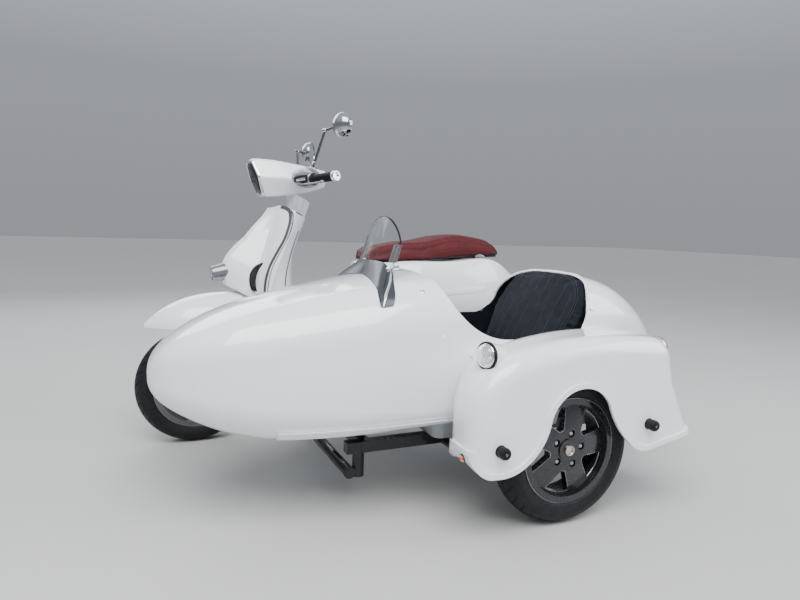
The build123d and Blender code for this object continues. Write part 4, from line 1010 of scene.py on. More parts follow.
# Snap studs along the cockpit for a cover, seen at these places of the photograph
STUD_PIXELS = ((422.9, 291.8), (471.6, 355.6), (591.4, 308.9))
STUD = ((-1, 7.5), (0.7, 7.5), (1.4, 6.2), (1.6, 4.4), (3.6, 4.0), (4.4, 3.0), (4.6, 0))
studs = bmesh.new()
for px, py in STUD_PIXELS:
    place, normal = seen_at(shell_tree, px, py)
    for spot, out in ((place, normal), (mirrored(place, BODY_Y), Vector((normal.x, -normal.y, normal.z)))):
        lathe(studs, spot, out, STUD, 18)
finish_piece("cover_studs", studs, CHROME)

# Cockpit floor mat
mat_bm = bmesh.new()
rows = []
for k in range(15):
    x = -235 - k * 30
    rows.append([at(x, BODY_Y + s * (150 + min(50, k * 12)), 303.5) for s in (-1, -0.5, 0, 0.5, 1)])
add_rings(mat_bm, rows, closed_rings=False)
bmesh.ops.solidify(mat_bm, geom=mat_bm.faces[:], thickness=-0.005)
finish_piece("cockpit_mat", mat_bm, CARPET)

# Windscreen: its edging, clamps and the bracket's screws
SCREEN_FOOT = (-459, 745)
SCREEN_CURVE = 420
LEAN = radians(18)


def on_screen(across, z, proud=2.0):
    """Point of the screen's sheet at that distance across and height, set forward of its middle."""
    radius = SCREEN_CURVE - 2 + proud
    back = SCREEN_CURVE - sqrt(radius**2 - across**2)
    up = (z - SCREEN_FOOT[1] + back * sin(LEAN)) / cos(LEAN)
    return at(SCREEN_FOOT[0] - back * cos(LEAN) - up * sin(LEAN), BODY_Y + across, z)


crown = arc_points((141, 844), (0, 922), (-141, 844), 28)
edge_line = [(141, 780 + 10 * k) for k in range(6)] + crown + [(-141, 832 - 10 * k) for k in range(6)]
edging = bmesh.new()
edge_radii = [1.2 + 1.8 * max(0.0, min(1.0, (u - 10) / 60)) + 1.8 * (u < -130) for u, z in edge_line]
tube(edging, [on_screen(u, z, 0.0) for u, z in edge_line], edge_radii, 10)
finish_piece("screen_edging", edging, RUBBER)


def pixel_at(px, py, y):
    """Where the photo's pixel meets the lengthways plane at that datum y."""
    ray = pixel_ray(px, py)
    return EYE + ray * ((at(0, y, 0).y - EYE.y) / ray.y)


# Screen plate: one bent sheet from the screen's foot down over the cowl, with folded ends
FOLD_LINES = (
    # photo pixel and datum y down the near leg: rear edge, bright fold, face's edge
    ((393.2, 272.0, 842), (393.8, 283.0, 880), (395.2, 296.0, 916), (393.6, 306.0, 955)),
    ((392.0, 271.6, 846), (391.8, 282.0, 884), (387.9, 295.0, 924), (384.2, 307.6, 960)),
    ((389.4, 271.4, 847), (388.4, 283.0, 887), (384.6, 296.0, 927), (382.0, 307.6, 961)),
    ((387.0, 272.0, 845), (384.8, 284.0, 885), (381.8, 296.0, 925), (380.4, 306.2, 956)),
)
PLATE_ROWS = 12


def fold_column(line):
    """Points down one edge of the folded leg, kept clear of the cowl."""
    spots = []
    for px, py, y in line:
        spot = pixel_at(px, py, y)
        place, normal, index, distance = shell_tree.ray_cast(EYE, pixel_ray(px, py))
        if place is not None and distance - 0.005 < (spot - EYE).length:
            spot = place + normal * 5 * MM
        spots.append(spot)
    path = smooth_path(spots, 6)
    return [path[round(k * (len(path) - 1) / PLATE_ROWS)] for k in range(PLATE_ROWS + 1)]


def plate_column(share):
    """Column of the plate's face at a share of its half width, top to foot."""
    top = on_screen(141 * share, 781, 6)
    reach = (fold_columns[-1][-1] - at(0, BODY_Y, 0)).y / MM
    foot_x = -448 + ((fold_columns[-1][-1] - DATUM).x / MM + 448) * abs(share)
    foot, normal = body_top(foot_x, BODY_Y + reach * share)
    foot += normal * 1.5 * MM
    line = [top.lerp(foot, k / PLATE_ROWS) for k in range(PLATE_ROWS + 1)]
    if share > 0:
        bend = share**6
        return [p.lerp(q, bend) for p, q in zip(line, fold_columns[-1])]
    return line


fold_columns = [fold_column(line) for line in FOLD_LINES]
half_plate = [plate_column(k / 14) for k in range(15)]
near = [*half_plate, *fold_columns[::-1][1:]]
rows = [[mirrored(p, BODY_Y) for p in column] for column in near[:0:-1]] + near
bm = bmesh.new()
add_rings(bm, rows, closed_rings=False)
bmesh.ops.recalc_face_normals(bm, faces=bm.faces[:])
bmesh.ops.solidify(bm, geom=bm.faces[:], thickness=0.0025)
# The plate's dark steel tone is a painted reflection of grey surroundings.
plate = finish_piece("screen_plate", bm, PLATE_STEEL_PAINTED_REFLECTION, sharp=60)
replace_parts(plate, "screen_bracket")

KNOB = (
    *((-14, 0), (-14, 5.5), (-11, 8), (2, 8), (4, 9.5), (7, 9.5)),
    *((9, 7.5), (9, 4.2), (15, 4.2), (16.4, 3), (16.4, 0)),
)
STRIP_CORNERS = (
    # across the screen, ahead of its middle
    *((122, 3.6), (124, 4.6), (142, 4.6), (145, 2.0)),
    *((145, -5.0), (142, -7.6), (124, -7.6), (122, -6.6)),
)
strips, knobs, highlight_beads = bmesh.new(), bmesh.new(), bmesh.new()
# Chrome beads along the fold on both sides: a rolled edge in shape, but their bright chrome on the dark plate is a
# painted highlight for the light the bend catches.
fold = [p.lerp(q, 0.5) for p, q in zip(fold_columns[1], fold_columns[2])]
for line in (fold, [mirrored(p, BODY_Y) for p in fold]):
    tube(highlight_beads, line, [1.5 + 3.0 * min(1.0, k / 3, (PLATE_ROWS - k) / 3) for k in range(PLATE_ROWS + 1)], 12)
finish_piece("screen_fold_beads", highlight_beads, CHROME)
for side in (1, -1):
    rows = []
    for k in range(8):
        z = 779 + 8 * k
        rows.append([on_screen(side * u, z, v) for u, v in STRIP_CORNERS])
    add_rings(strips, rows)
    knob = pixel_at(394.6, 267.4, 846)
    knob = knob if side > 0 else mirrored(knob, BODY_Y)
    out = (on_screen(0, 785, 10) - on_screen(0, 785, -9)).normalized()
    lathe(knobs, knob, out, KNOB, 24)
    wing = [knob + out * 6 * MM + Vector((23 - 5.75 * k, 0, -6 + 2.2 * k)) * MM for k in range(9)]
    tube(knobs, wing, [0.8, 4.2, 4.6, 3.4, 3.0, 3.4, 4.6, 4.2, 0.8], 12)
finish_piece("screen_strips", strips, SATIN, sharp=40)
finish_piece("screen_knobs", knobs, CHROME)

# Leg shield: silver trim, dark joint lines, side indicators and a grille under the nose
shield_tree = tree_of("leg_shield")
shields_tree = tree_of("leg_shield", "inner_shield")
headset_tree = tree_of("headset", "leg_shield", "inner_shield")
TRIM_LINES = (
    # name, finish, width, height, photo pixels down the line, then datum y and z further down
    (
        "shield_joint",
        BLACK_PLASTIC,
        4.5,
        0.8,
        (
            *((291.2, 210.4), (293.2, 214.5), (292.7, 223.2), (287.7, 238.5)),
            *((279.3, 253.9), (273.1, 266.1), (269.3, 278.4), (267.8, 290.6)),
        ),
        ((196, 570), (200, 480), (204, 400), (206, 320)),
    ),
    (
        "shield_trim",
        TRIM_GREY,
        15,
        3.0,
        (
            *((281.6, 206.8), (284.8, 207.8), (287.8, 209.4), (289.6, 211.4), (290.6, 214.4), (290.0, 223.0)),
            *((285.0, 238.3), (276.4, 253.8), (270.1, 266.0), (266.3, 278.4), (264.8, 290.6)),
        ),
        ((184, 570), (188, 480), (192, 400), (194, 320)),
    ),
)
INNER_TRIM = ((298.4, 230.9), (293.4, 245.0), (288.6, 262.0), (286.0, 275.0), (285.2, 286.0))


def band_pair(name, finish, width, height, spots):
    """A strip along surface spots on the left, and its image on the right."""
    path = smooth_path([p for p, n in spots], 5)
    normals = smooth_path([n for p, n in spots], 5)
    bm = bmesh.new()
    band(bm, path, normals, width, height)
    flipped = [Vector((n.x, -n.y, n.z)) for n in normals]
    band(bm, [mirrored(p) for p in path], flipped, width, height)
    bmesh.ops.recalc_face_normals(bm, faces=bm.faces[:])
    return finish_piece(name, bm, finish, sharp=60)


def from_front(tree, y, z):
    """Where a ray from ahead meets the surface at that datum y and z."""
    return hit(tree, at(200, y, z), Vector((-1, 0, 0)))


for name, finish, width, height, pixels, lower in TRIM_LINES:
    spots = [hit(shields_tree, EYE, pixel_ray(px, py)) for px, py in pixels]
    spots += [from_front(shield_tree, y, z) for y, z in lower]
    band_pair(name, finish, width, height, [spot for spot in spots if spot[0] is not None])
spots = [seen_at(shields_tree, px, py) for px, py in INNER_TRIM]
band_pair("inner_trim", TRIM_GREY, 7, 2.2, spots)
neck_spots = [seen_at(headset_tree, px, py) for px, py in ((294.2, 211.2), (298.0, 213.4), (301.5, 215.6))]
band_pair("neck_joint", BLACK_PLASTIC, 4.5, 0.8, neck_spots)

# Oval grille wrapped round the chin under the nose
GRILLE_HALF, GRILLE_TALL = 40, 25
GRILLE_UP = Vector((0.859, 0, 0.511))
GRILLE_OUT = Vector((0.511, 0, -0.859))
CHIN_RADIUS = 58


def grille_spot(across, up, out):
    """Point of the grille bent round the chin."""
    turn = across / CHIN_RADIUS
    reach = CHIN_RADIUS + out
    around = Vector((0, sin(turn) * reach, 0)) + GRILLE_OUT * (cos(turn) * reach - CHIN_RADIUS)
    return at(-141, 0, 625) + (around + GRILLE_UP * up) * MM


bm, slats = bmesh.new(), bmesh.new()
rings = []
for grow, out in ((1.06, -2.0), (1.05, 2.5), (0.98, 4.0), (0.88, 3.0), (0.86, 0.6)):
    wide, tall = GRILLE_HALF * grow, GRILLE_TALL * grow
    rings.append([grille_spot(wide * cos(a), tall * sin(a), out) for a in circle(40)])
add_rings(bm, rings)
for k in range(-3, 4):
    half = 0.86 * GRILLE_HALF * sqrt(1 - (k * 6.6 / GRILLE_TALL) ** 2)
    tube(slats, [grille_spot(half * t / 3, k * 6.6, 2.0) for t in range(-3, 4)], 1.5, 8)
finish_piece("shield_grille", bm, ENGINE_BLACK, sharp=50)
finish_piece("shield_grille_slats", slats, RIM_GREY)

INDICATOR = (
    # photo pixels along the crescent's front edge and its rear edge
    ((262.4, 262.6), (255.6, 265.5), (250.6, 271.5), (248.9, 278.0), (249.3, 284.5), (251.3, 290.5)),
    ((263.4, 263.6), (260.2, 268.0), (257.6, 273.0), (256.2, 279.0), (256.0, 285.5), (257.4, 291.5)),
)


casting_tree = tree_of("leg_shield", "horn_casting")


def indicator(side):
    """A dark crescent let into the shield, on the left (1) or right (-1)."""
    rows = []
    front = smooth_path([Vector((*p, 0)) for p in INDICATOR[0]], 4)
    rear = smooth_path([Vector((*p, 0)) for p in INDICATOR[1]], 4)
    for a, b in zip(front, rear):
        row = []
        for share, height in ((0, -1), (0.04, 1.5), (0.3, 3.5), (0.7, 3.5), (0.96, 1.5), (1, -1)):
            p = a.lerp(b, share)
            place, normal = seen_at(casting_tree, p.x, p.y)
            point = place + normal * height * MM
            row.append(point if side > 0 else mirrored(point))
        rows.append(row)
    bm = bmesh.new()
    add_rings(bm, rows)
    finish_piece(f"indicator_{'left' if side > 0 else 'right'}", bm, BLACK_PLASTIC, sharp=50)


for side in (1, -1):
    indicator(side)

# Ridge of the casting, from the nose up to the top of the shield
RIDGE_LINE = (
    # x, z, half width of the crest, half width of the foot
    (-290, 951, 13, 36),
    (-267, 917, 14, 40),
    (-223, 867, 16, 46),
    (-184, 817, 19, 52),
    (-150, 755, 24, 58),
    (-124, 722, 27, 58),
    (-112, 702, 24, 52),
)
RIDGE_SHAPE = (
    # share of the foot's half width, depth, share of the crest's half width
    *((-1, 120, 0), (-0.8, 48, 0), (0, 9, -1), (0, 2, -0.6), (0, 0, 0)),
    *((0, 2, 0.6), (0, 9, 1), (0.8, 48, 0), (1, 120, 0)),
)
ridge_path = smooth_path([(x, 0, z) for x, z, crest, foot in RIDGE_LINE], 4)
ridge_widths = smooth_path([(crest, foot, 0) for x, z, crest, foot in RIDGE_LINE], 4)
rings = []
for k, point in enumerate(ridge_path):
    heading = heading_at(ridge_path, k)
    ahead = Vector((-heading.z, 0, heading.x)) * (1 if -heading.z > 0 else -1)
    crest, foot = ridge_widths[k].x, ridge_widths[k].y
    top_share = 1 - min(1.0, k / 6)
    inward = (-ahead).lerp(Vector((-1, 0, 0.22)), top_share) * (1 - 0.5 * top_share)
    rings.append([at(*(point + Vector((0, u * foot + w * crest, 0)) + inward * d)) for u, d, w in RIDGE_SHAPE])
bm = bmesh.new()
add_rings(bm, rings)
bmesh.ops.recalc_face_normals(bm, faces=bm.faces[:])
finish_piece("casting_ridge", bm, WHITE, sharp=50)

# Horn casting: satin nose with a dark grille
NOSE_FOOT, NOSE_END = at(-130, 0, 690), at(-66, 0, 678)
nose_axis = (NOSE_END - NOSE_FOOT).normalized()
NOSE = [(-4, 37.5), (6, 37.2), (58, 31.0), (64, 30.4), (66.5, 28.6), (66.5, 25.5), (60, 24.5), (60, 0)]
turned("horn_nose", SATIN, "root", (NOSE_FOOT, nose_axis, NOSE, 48))
bm = bmesh.new()
for k in range(-3, 4):
    half = sqrt(24**2 - (k * 7) ** 2)
    centre = NOSE_FOOT + nose_axis * 63 * MM + Vector((0, 0, k * 7 * MM))
    tube(bm, [centre - Vector((0, half * MM, 0)), centre, centre + Vector((0, half * MM, 0))], 1.5, 8)
lathe(bm, NOSE_FOOT + nose_axis * 60 * MM, nose_axis, [(0.4, 24.4), (1.0, 24.2), (1.0, 0)], 40)
finish_piece("horn_grille", bm, BLACK_PLASTIC)

# Headlamp: bezel lip and lens cell
LAMP_FACE = at(-241.5, 0, 1069.5)
LAMP_LEAN = atan2(267 - 216, 1140 - 999)
LAMP_OUT = Vector((cos(LAMP_LEAN), 0, -sin(LAMP_LEAN)))
LAMP_UP = Vector((sin(LAMP_LEAN), 0, cos(LAMP_LEAN)))
HEXAGON = ((-84, 0), (-50, 68), (50, 68), (84, 0), (50, -68), (-50, -68))


def lamp_loop(grow, out):
    """Points of the rounded hexagon grown outwards, at that distance ahead of the lamp's face."""
    found = []
    for k, (u, v) in enumerate(HEXAGON):
        last, after = HEXAGON[k - 1], HEXAGON[(k + 1) % 6]
        corner = Vector((u, v)) * (1 + grow / 84)
        before = (Vector(last) * (1 + grow / 84) - corner).normalized()
        onward = (Vector(after) * (1 + grow / 84) - corner).normalized()
        for t in range(6):
            w = t / 5
            p = (1 - w) ** 2 * (corner + before * 13) + 2 * w * (1 - w) * corner + w * w * (corner + onward * 13)
            found.append(LAMP_FACE + Vector((0, p.x * MM, 0)) + LAMP_UP * p.y * MM + LAMP_OUT * out * MM)
    return found


bm = bmesh.new()
bezel = ((7, -3), (8, 1), (7, 6), (3, 9.5), (-2, 8.5), (-5, 5.5), (-5, 2))
add_rings(bm, [lamp_loop(grow, out) for grow, out in bezel], caps=False)
finish_piece("headlamp_bezel", bm, CHROME, "steering", sharp=60)
bm = bmesh.new()
add_rings(bm, [lamp_loop(g, o) for g, o in ((-5, 4.5), (-9, 8.5), (-24, 11.5), (-44, 13.2), (-64, 14))])
lens = finish_piece("headlamp_lens", bm, DARK_LENS, "steering", sharp=60)
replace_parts(lens, "headlamp")

# Handlebar: switch slots with a chrome key, ribbed grips, end rings and round mirrors
HOUSING_RINGS = (
    # centre x, y, z, half length and half height of the oval
    (-426, 100, 1079, 30, 24),
    (-424, 106, 1078, 44, 32),
    (-418, 126, 1076, 56, 38),
    (-411, 152, 1073, 60, 40),
    (-406, 184, 1068, 53, 37),
    (-405, 214, 1064, 40, 31),
    (-409, 238, 1062, 29, 26),
    (-412, 247, 1061.5, 24, 23),
    (-413, 250, 1061.5, 18, 17),
)
SLOT_ROWS = (((293.6, 177.4), (300.4, 175.6), (307.6, 174.8)), ((294.0, 181.8), (300.8, 182.6), (307.4, 181.6)))
KEY_ROWS = (((296.4, 179.4), (301.2, 178.0), (305.4, 177.4)), ((296.8, 181.0), (301.4, 180.6), (305.2, 180.0)))
shells = bmesh.new()
for side in (1, -1):
    rings = [
        [at(x + long * cos(a), side * y, z + tall * sin(a)) for a in circle(40)]
        for x, y, z, long, tall in HOUSING_RINGS
    ]
    add_rings(shells, list(zip(*(smooth_path(column, 4) for column in zip(*rings)))))
bmesh.ops.recalc_face_normals(shells, faces=shells.faces[:])
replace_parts(finish_piece("switch_housing_shells", shells, SATIN, "steering", sharp=60), "switch_housings")
housing_tree = tree_of("switch_housing_shells")


def patch_pair(name, finish, edges, height):
    """A thin raised patch between two curves of photo pixels on the left housing, and its image."""
    above, below = (smooth_path([(px, py, 0) for px, py in edge], 5) for edge in edges)
    bm = bmesh.new()
    for side in (1, -1):
        rows = []
        for k, (a, b) in enumerate(zip(above, below)):
            ends = 1.0 if k in (0, len(above) - 1) else 0.0
            row = []
            for t in range(-1, 8):
                p = a.lerp(b, max(0, min(6, t)) / 6)
                place, normal = seen_at(housing_tree, p.x, p.y)
                lift = -1.5 if t in (-1, 7) else height - 0.7 * height * ends
                point = place + normal * lift * MM
                row.append(point if side > 0 else mirrored(point))
            rows.append(row)
        add_rings(bm, rows)
    bmesh.ops.recalc_face_normals(bm, faces=bm.faces[:])
    finish_piece(name, bm, finish, "steering", sharp=50)


patch_pair("switch_slots", BLACK_PLASTIC, SLOT_ROWS, 1.0)
patch_pair("switch_keys", CHROME, KEY_ROWS, 3.2)

# Levers: flat blades with a ball end, under and ahead of the grips
LEVER_LINE = (
    *((-402, 168, 1052), (-384, 196, 1045), (-374, 232, 1041)),
    *((-384, 296, 1040), (-404, 350, 1043), (-414, 370, 1046)),
)
bm = bmesh.new()
for side in (1, -1):
    path = smooth_path([at(x, side * y, z) for x, y, z in LEVER_LINE], 6)
    count = len(path) - 1
    rings = []
    for k, point in enumerate(path):
        first, second = side_frame(heading_at(path, k))
        ball = max(0.0, 1 - (count - k) / 4)
        wide, tall = 6.2 + 0.8 * ball, 3.4 + 3.4 * ball
        fade = 0.35 if k == count else 1.0
        oval = (first * wide * cos(a) + second * tall * sin(a) for a in circle(16))
        rings.append([point + offset * fade * MM for offset in oval])
    add_rings(bm, rings)
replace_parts(finish_piece("lever_blades", bm, SATIN, "steering"), "levers")

GRIP_INNER, GRIP_OUTER = (-412, 248, 1061.4), (-464, 360, 1070)
GRIP_RING = ((-10, 0), (-10, 18.2), (-8, 19), (3, 19), (6, 17.6), (6, 13.2), (-2, 12.2), (-2, 0))
grip_bm, ring_bm = bmesh.new(), bmesh.new()
for side in (1, -1):
    start = at(GRIP_INNER[0], side * GRIP_INNER[1], GRIP_INNER[2])
    end = at(GRIP_OUTER[0], side * GRIP_OUTER[1], GRIP_OUTER[2])
    axis = end - start
    span = axis.length / MM
    profile = [(0, 0), (0, 22.4), (2, 23.2), (5, 22.4), (7, 18)]
    for k in range(17):
        h = 12 + k * (span - 26) / 17
        profile += [(h, 15.9), (h + 0.8, 17.4), (h + 3.6, 17.4), (h + 4.4, 15.9)]
    profile += [(span - 12, 17.2), (span - 10, 17.2), (span - 10, 0)]
    lathe(grip_bm, start, axis, profile, 32)
    lathe(ring_bm, start, axis, [(span + h, r) for h, r in GRIP_RING], 32)
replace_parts(finish_piece("grip_covers", grip_bm, RUBBER, "steering"), "grips")
finish_piece("grip_end_rings", ring_bm, CHROME, "steering")

MIRRORS = (
    # foot, knee, head, turn of the head's back from straight ahead
    ((-448, 104, 1112), (-484, 152, 1262), (-524, 238, 1276), 15),
    ((-446, -110, 1112), (-446, -122, 1204), (-530, -250, 1214), -32),
)
JOINT = ((0, 0), (0, 6), (3, 8.5), (19, 8.5), (22, 6), (22, 0))
BOSS = ((-6, 0), (-6, 13), (4, 13), (8, 10), (12, 7), (12, 0))
LOCK_NUT = ((0, 0), (0, 8), (10, 8), (12, 6.6), (12, 0))
shells, glasses, stems = bmesh.new(), bmesh.new(), bmesh.new()
MIRROR_PLACES = [(at(*foot), at(*knee), at(*head), radians(turn)) for foot, knee, head, turn in MIRRORS]
for foot, knee, head, turn in MIRROR_PLACES:
    out = Vector((cos(turn), sin(turn), 0))
    dome = [(-17, 44.5), (-17, 48.6), (-8, 49)]
    dome += [(-8 + 39 * sin(a), 49 * cos(a)) for a in (pi / 2 * k / 12 for k in range(1, 12))]
    lathe(shells, head, out, [(-14.5, 0), (-14.5, 44.5), *dome, (31, 0)], 48)
    lathe(glasses, head, -out, [(15.6, 0), (15.4, 30), (15.0, 43.8), (13, 43.8)], 48)
    lathe(shells, foot, UP, BOSS, 20)
    lathe(shells, foot + (knee - foot) * 0.12, knee - foot, LOCK_NUT, 6)
for foot, knee, head, turn in MIRROR_PLACES:
    tube(stems, smooth_path([foot, foot.lerp(knee, 0.55), knee], 6) + [knee.lerp(head, 0.5), head], 5.4, 14)
    lathe(shells, knee - (head - knee).normalized() * 11 * MM, head - knee, JOINT, 16)
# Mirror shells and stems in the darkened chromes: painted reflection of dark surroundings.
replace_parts(finish_piece("mirror_shells", shells, SHELL_CHROME_PAINTED_REFLECTION, "steering"), "mirrors")
finish_piece("mirror_glasses", glasses, MIRROR, "steering")
finish_piece("mirror_stems", stems, STEM_CHROME_PAINTED_REFLECTION, "steering")

# Sidecar lamp: rubber gasket, bright bowl and a domed patterned lens
LAMP_FOOT, LAMP_END = at(-715, 1113, 533), at(-665, 1124, 537)
lamp_axis = (LAMP_END - LAMP_FOOT).normalized()
RING = (LAMP_END - LAMP_FOOT).length / MM
LAMP_PIECES = (
    # name, finish, profile from the lamp's foot, with distances from the ring's place
    ("sidecar_lamp_body", WHITE, [(-RING, 0), (-RING, 31), (-14, 37.6), (-7, 38.6), (-3, 38.6), (-3, 0)]),
    ("sidecar_lamp_gasket", RUBBER, [(-6, 38.0), (-5, 40.2), (1, 40.2), (3, 38.6), (3, 35), (-2, 34.5), (-2, 0)]),
    ("sidecar_lamp_bowl", CHROME, [(-1, 34.8), (3, 34.8), (4.5, 33.5), (3, 32.5), (0, 20), (-1, 8), (-1, 0)]),
)
for name, finish, profile in LAMP_PIECES:
    made = turned(name, finish, "root", (LAMP_FOOT, lamp_axis, [(RING + h, r) for h, r in profile], 48))
    if name == "sidecar_lamp_body":
        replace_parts(made, "sidecar_lamp")
dome = [(RING + 3.5 + 18 * sin(a), 33.4 * cos(a)) for a in (pi / 2 * k / 10 for k in range(10))]
inner = [(h - 2.5, r * 0.93) for h, r in dome]
turned(
    "sidecar_lamp_lens",
    CLEAR,
    "root",
    (LAMP_FOOT, lamp_axis, [*dome, (RING + 21.5, 0)], 48),
    (LAMP_FOOT, lamp_axis, [(RING + 19, 0), *inner[::-1]], 48),
)

# Rubber buffers, the amber marker, rear lamps' rims
BUFFER = (
    *((-3, 0), (-3, 17), (1, 18), (4, 16.4), (7, 16), (18, 17.6)),
    *((25, 17.4), (30, 15), (32.5, 10.5), (33, 6), (30, 5), (30, 0)),
)
bm, screws = bmesh.new(), bmesh.new()
for x, z in ((-678, 284), (-1222, 305)):
    lathe(bm, at(x, 1200, z), LEFT, BUFFER, 32)
    socket_head(screws, at(x, 1227, z), LEFT, 4.0)
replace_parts(finish_piece("buffer_rubbers", bm, RUBBER), "rubber_buffers")
finish_piece("buffer_screws", screws, STEEL)
guard_tree = tree_of("sidecar_mudguard")
spot = seen_at(guard_tree, 462.8, 458.4)
turned("marker_base", BLACK_PLASTIC, "root", (*spot, [(-2, 0), (-2, 13), (1.5, 13), (2.5, 12), (2.5, 0)], 28))
turned("marker_lens", AMBER_LENS, "root", (*spot, [(2, 0), (2, 11), (5, 10.4), (8, 7.5), (9, 3.5), (9.2, 0)], 28))
REAR_LAMP = at(-1356, 1094, 520)
rear_lamp_axis = (REAR_LAMP - at(-1290, 1094, 514)).normalized()
rim = [(-20, 36.4), (-14, 38.4), (-8, 38.4), (-5, 36.4)]
turned("sidecar_rear_lamp_rim", CHROME, "root", (REAR_LAMP, rear_lamp_axis, rim, 40))
lens = [(-1, 35.5), (2, 34.5), (5, 27), (7.5, 14), (8, 0)]
turned("sidecar_rear_lamp_lens", RED_LENS, "root", (REAR_LAMP, rear_lamp_axis, lens, 40))

# Saddle latch on the left rear corner
bm = bmesh.new()
latch = at(-1243, 118, 770)
rows = []
for k in range(13):
    x = (k - 6) * 4.2
    droop = 5.5 * (x / 25) ** 2
    tall = 8 - droop * 0.6
    half = (pi * s / 8 for s in range(9))
    rows.append([latch + Vector((x, 6 + sin(a) * 7, -droop + cos(a) * tall)) * MM for a in half])
add_rings(bm, rows)
finish_piece("saddle_latch", bm, SATIN)

# Wheels: bright lip on each rim; nuts, cap, valve and cut bevels on the side wheel
LIP_RADIUS = 163.2
for wheel, x, y, radius, width in WHEELS:
    bm = bmesh.new()
    for side in (1, -1):
        out = y + side * (width / 2 - 9.5)
        ring = [at(x + LIP_RADIUS * cos(a), out, radius + LIP_RADIUS * sin(a)) for a in circle(72)]
        tube(bm, ring, 1.7, 8, closed=True)
    finish_piece(f"{wheel}_rim_lip", bm, BEVEL, f"{wheel}_wheel")

SIDE_HUB = (-960, TRACK, 233.5)
SPOKES = 5
FIRST_SPOKE = radians(102)


def on_disc(reach, turn, out):
    """Point of the side wheel at that reach from its axle, turn round it and distance outwards."""
    return at(SIDE_HUB[0] + reach * cos(turn), SIDE_HUB[1] + out, SIDE_HUB[2] + reach * sin(turn))


def disc_face(reach):
    """How far out the spokes' face stands at that reach."""
    return 38 - 11 * max(0.0, reach - 66) / 79


nuts, bevels, cap, valve = (bmesh.new() for k in range(4))
WINDOW = ((66, -8), (126, -45), *arc_points((126, -45), (135.5, 0), (126, 45), 10)[1:-1], (126, 45), (66, 8))
for k in range(SPOKES):
    turn = FIRST_SPOKE + 2 * pi * k / SPOKES
    lathe(nuts, on_disc(50, turn, 28), LEFT, [(-2, 9.6), (1, 9.6), (2, 8.4), (2, 0)], 20)
    lathe(nuts, on_disc(50, turn, 28), LEFT, [(1, 7.4), (6, 7.4), (7.6, 6.0), (7.6, 0)], 6)
    middle = turn + pi / SPOKES
    outline = []
    for (u0, v0), (u1, v1) in zip(WINDOW, (*WINDOW[1:], WINDOW[0])):
        for step in range(3):
            u, v = u0 + (u1 - u0) * step / 3, v0 + (v1 - v0) * step / 3
            reach = hypot(u, v)
            outline.append(on_disc(reach, middle + atan2(v, u), disc_face(reach) - 0.6))
    tube(bevels, outline, 1.5, 8, closed=True)
lathe(cap, on_disc(0, 0, 38), LEFT, [(-2, 17), (9, 17), (11, 15.6), (11, 12.6), (6, 12), (6, 0)], 40)
valve_shape = [(-8, 4.6), (6, 4.6), (8, 3.2), (17, 3.2), (18, 2.4), (18, 0)]
lathe(valve, on_disc(139, FIRST_SPOKE - radians(150), 4), LEFT, valve_shape, 16)
finish_piece("side_wheel_nuts", nuts, STEEL, "side_wheel")
finish_piece("side_wheel_bevels", bevels, BEVEL, "side_wheel")
finish_piece("side_wheel_cap", cap, NICKEL, "side_wheel")
finish_piece("side_wheel_valve", valve, RUBBER, "side_wheel")

# Scooter: shock spring, floor strips, panel crease, heads of screws and bolts
SPRING_FOOT, SPRING_TOP = at(-1383, 106, 372), at(-1368, 110, 556)
SPRING_TURNS, TURN_STEPS = 7, 20
bm = bmesh.new()
first, second = side_frame((SPRING_TOP - SPRING_FOOT).normalized())
coils = []
for k in range(SPRING_TURNS * TURN_STEPS + 1):
    a = 2 * pi * k / TURN_STEPS
    outward = first * cos(a) + second * sin(a)
    coils.append(SPRING_FOOT.lerp(SPRING_TOP, k / (SPRING_TURNS * TURN_STEPS)) + outward * 29 * MM)
tube(bm, coils, 4.2, 10)
finish_piece("shock_spring", bm, CHROME)

floor_tree = tree_of("floorboard")
bm = bmesh.new()
for y in (-120, -85, -50, 50, 85, 120):
    hits = dropped(floor_tree, [at(x, y, 360) for x in range(-440, -680, -20)], -UP)
    if len(hits) > 3:
        band(bm, [p for p, n in hits], [n for p, n in hits], 13, 3.5)
finish_piece("floor_strips", bm, RUBBER, sharp=60)

cover_tree = tree_of("side_covers")
CREASE = ((441.0, 293.6), (450.0, 292.3), (460.0, 291.3), (470.0, 290.3), (485.0, 288.9))
hits = [spot for spot in (hit(cover_tree, EYE, pixel_ray(px, py)) for px, py in CREASE) if spot[0]]
if len(hits) > 2:
    band_pair("cover_creases", WHITE, 26, 2.4, hits)

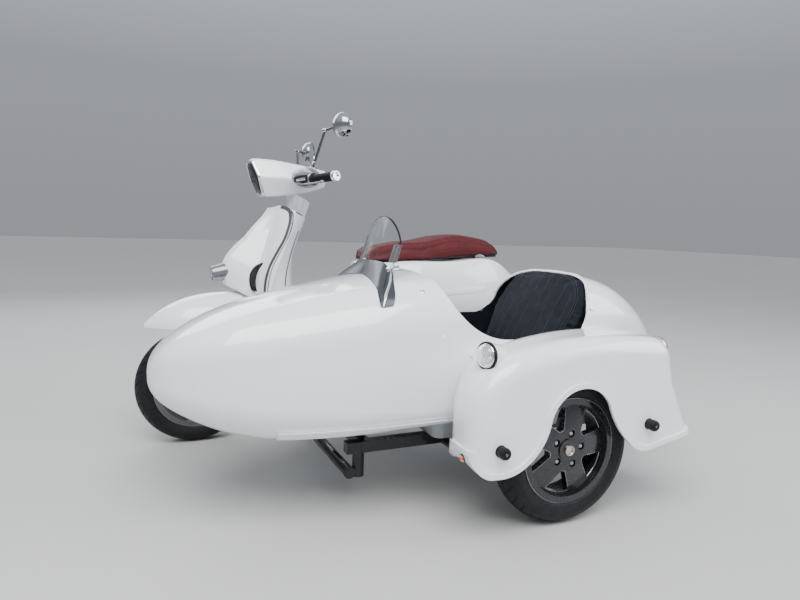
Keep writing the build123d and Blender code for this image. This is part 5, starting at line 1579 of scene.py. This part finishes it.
bolts = bmesh.new()
for side in (1, -1):
    hex_head(bolts, at(-1612, side * 50, 452), Vector((-1, 0, 0)), 5.0)
rail_tree = tree_of("sidecar_frame")
for x in (-260, -420, -700, -1000, -1240):
    for y in (BODY_Y - 190, BODY_Y, BODY_Y + 190):
        place, normal = hit(rail_tree, at(x, y, 20), UP)
        if place is not None and normal.z < -0.9:
            hex_head(bolts, place, normal, 6.0)
finish_piece("frame_bolts", bolts, STEEL)

# Floor and light
bm = bmesh.new()
bmesh.ops.create_grid(bm, x_segments=1, y_segments=1, size=30)
mesh = bpy.data.meshes.new("floor")
bm.to_mesh(mesh)
bm.free()
mesh.materials.append(FLOOR)
linked("floor", mesh)


def area_light(name, place, target, size, power, tint):
    """A rectangular soft light at the place, facing the target."""
    data = bpy.data.lights.new(name, "AREA")
    data.shape = "RECTANGLE"
    data.size, data.size_y = size
    data.energy = power
    data.color = tint
    lamp = linked(name, data)
    lamp.location = place
    lamp.rotation_mode = "QUATERNION"
    lamp.rotation_quaternion = (Vector(target) - Vector(place)).to_track_quat("-Z", "Y")


area_light("key", (1.2, 2.6, 4.2), (0, 0, 0.5), (4.5, 3.0), 340, (1, 0.995, 0.985))
area_light("fill", (-3.8, 2.2, 2.6), (0, 0, 0.5), (3.0, 3.0), 110, (0.93, 0.96, 1))
area_light("back", (1.0, -4.2, 3.4), (0, 0, 0.6), (4.0, 2.5), 110, (0.95, 0.97, 1))

world = bpy.data.worlds.new("studio")
bpy.context.scene.world = world
world.use_nodes = True
sky_nodes, sky_links = world.node_tree.nodes, world.node_tree.links
background = sky_nodes["Background"]
height = sky_nodes.new("ShaderNodeSeparateXYZ")
sky_links.new(sky_nodes.new("ShaderNodeTexCoord").outputs["Generated"], height.inputs["Vector"])
sky = sky_nodes.new("ShaderNodeValToRGB")
sky_links.new(height.outputs["Z"], sky.inputs["Fac"])
SKY = (
    # height, colour
    (0.0, (0.30, 0.31, 0.33)),
    (0.22, (0.34, 0.355, 0.385)),
    (0.45, (0.62, 0.66, 0.72)),
    (1.0, (0.92, 0.95, 1.0)),
)
while len(sky.color_ramp.elements) < len(SKY):
    sky.color_ramp.elements.new(0.5)
for element, (stop, tint) in zip(sky.color_ramp.elements, SKY):
    element.position = stop
    element.color = (*tint, 1)
sky_links.new(sky.outputs["Color"], background.inputs["Color"])
background.inputs["Strength"].default_value = 1.06
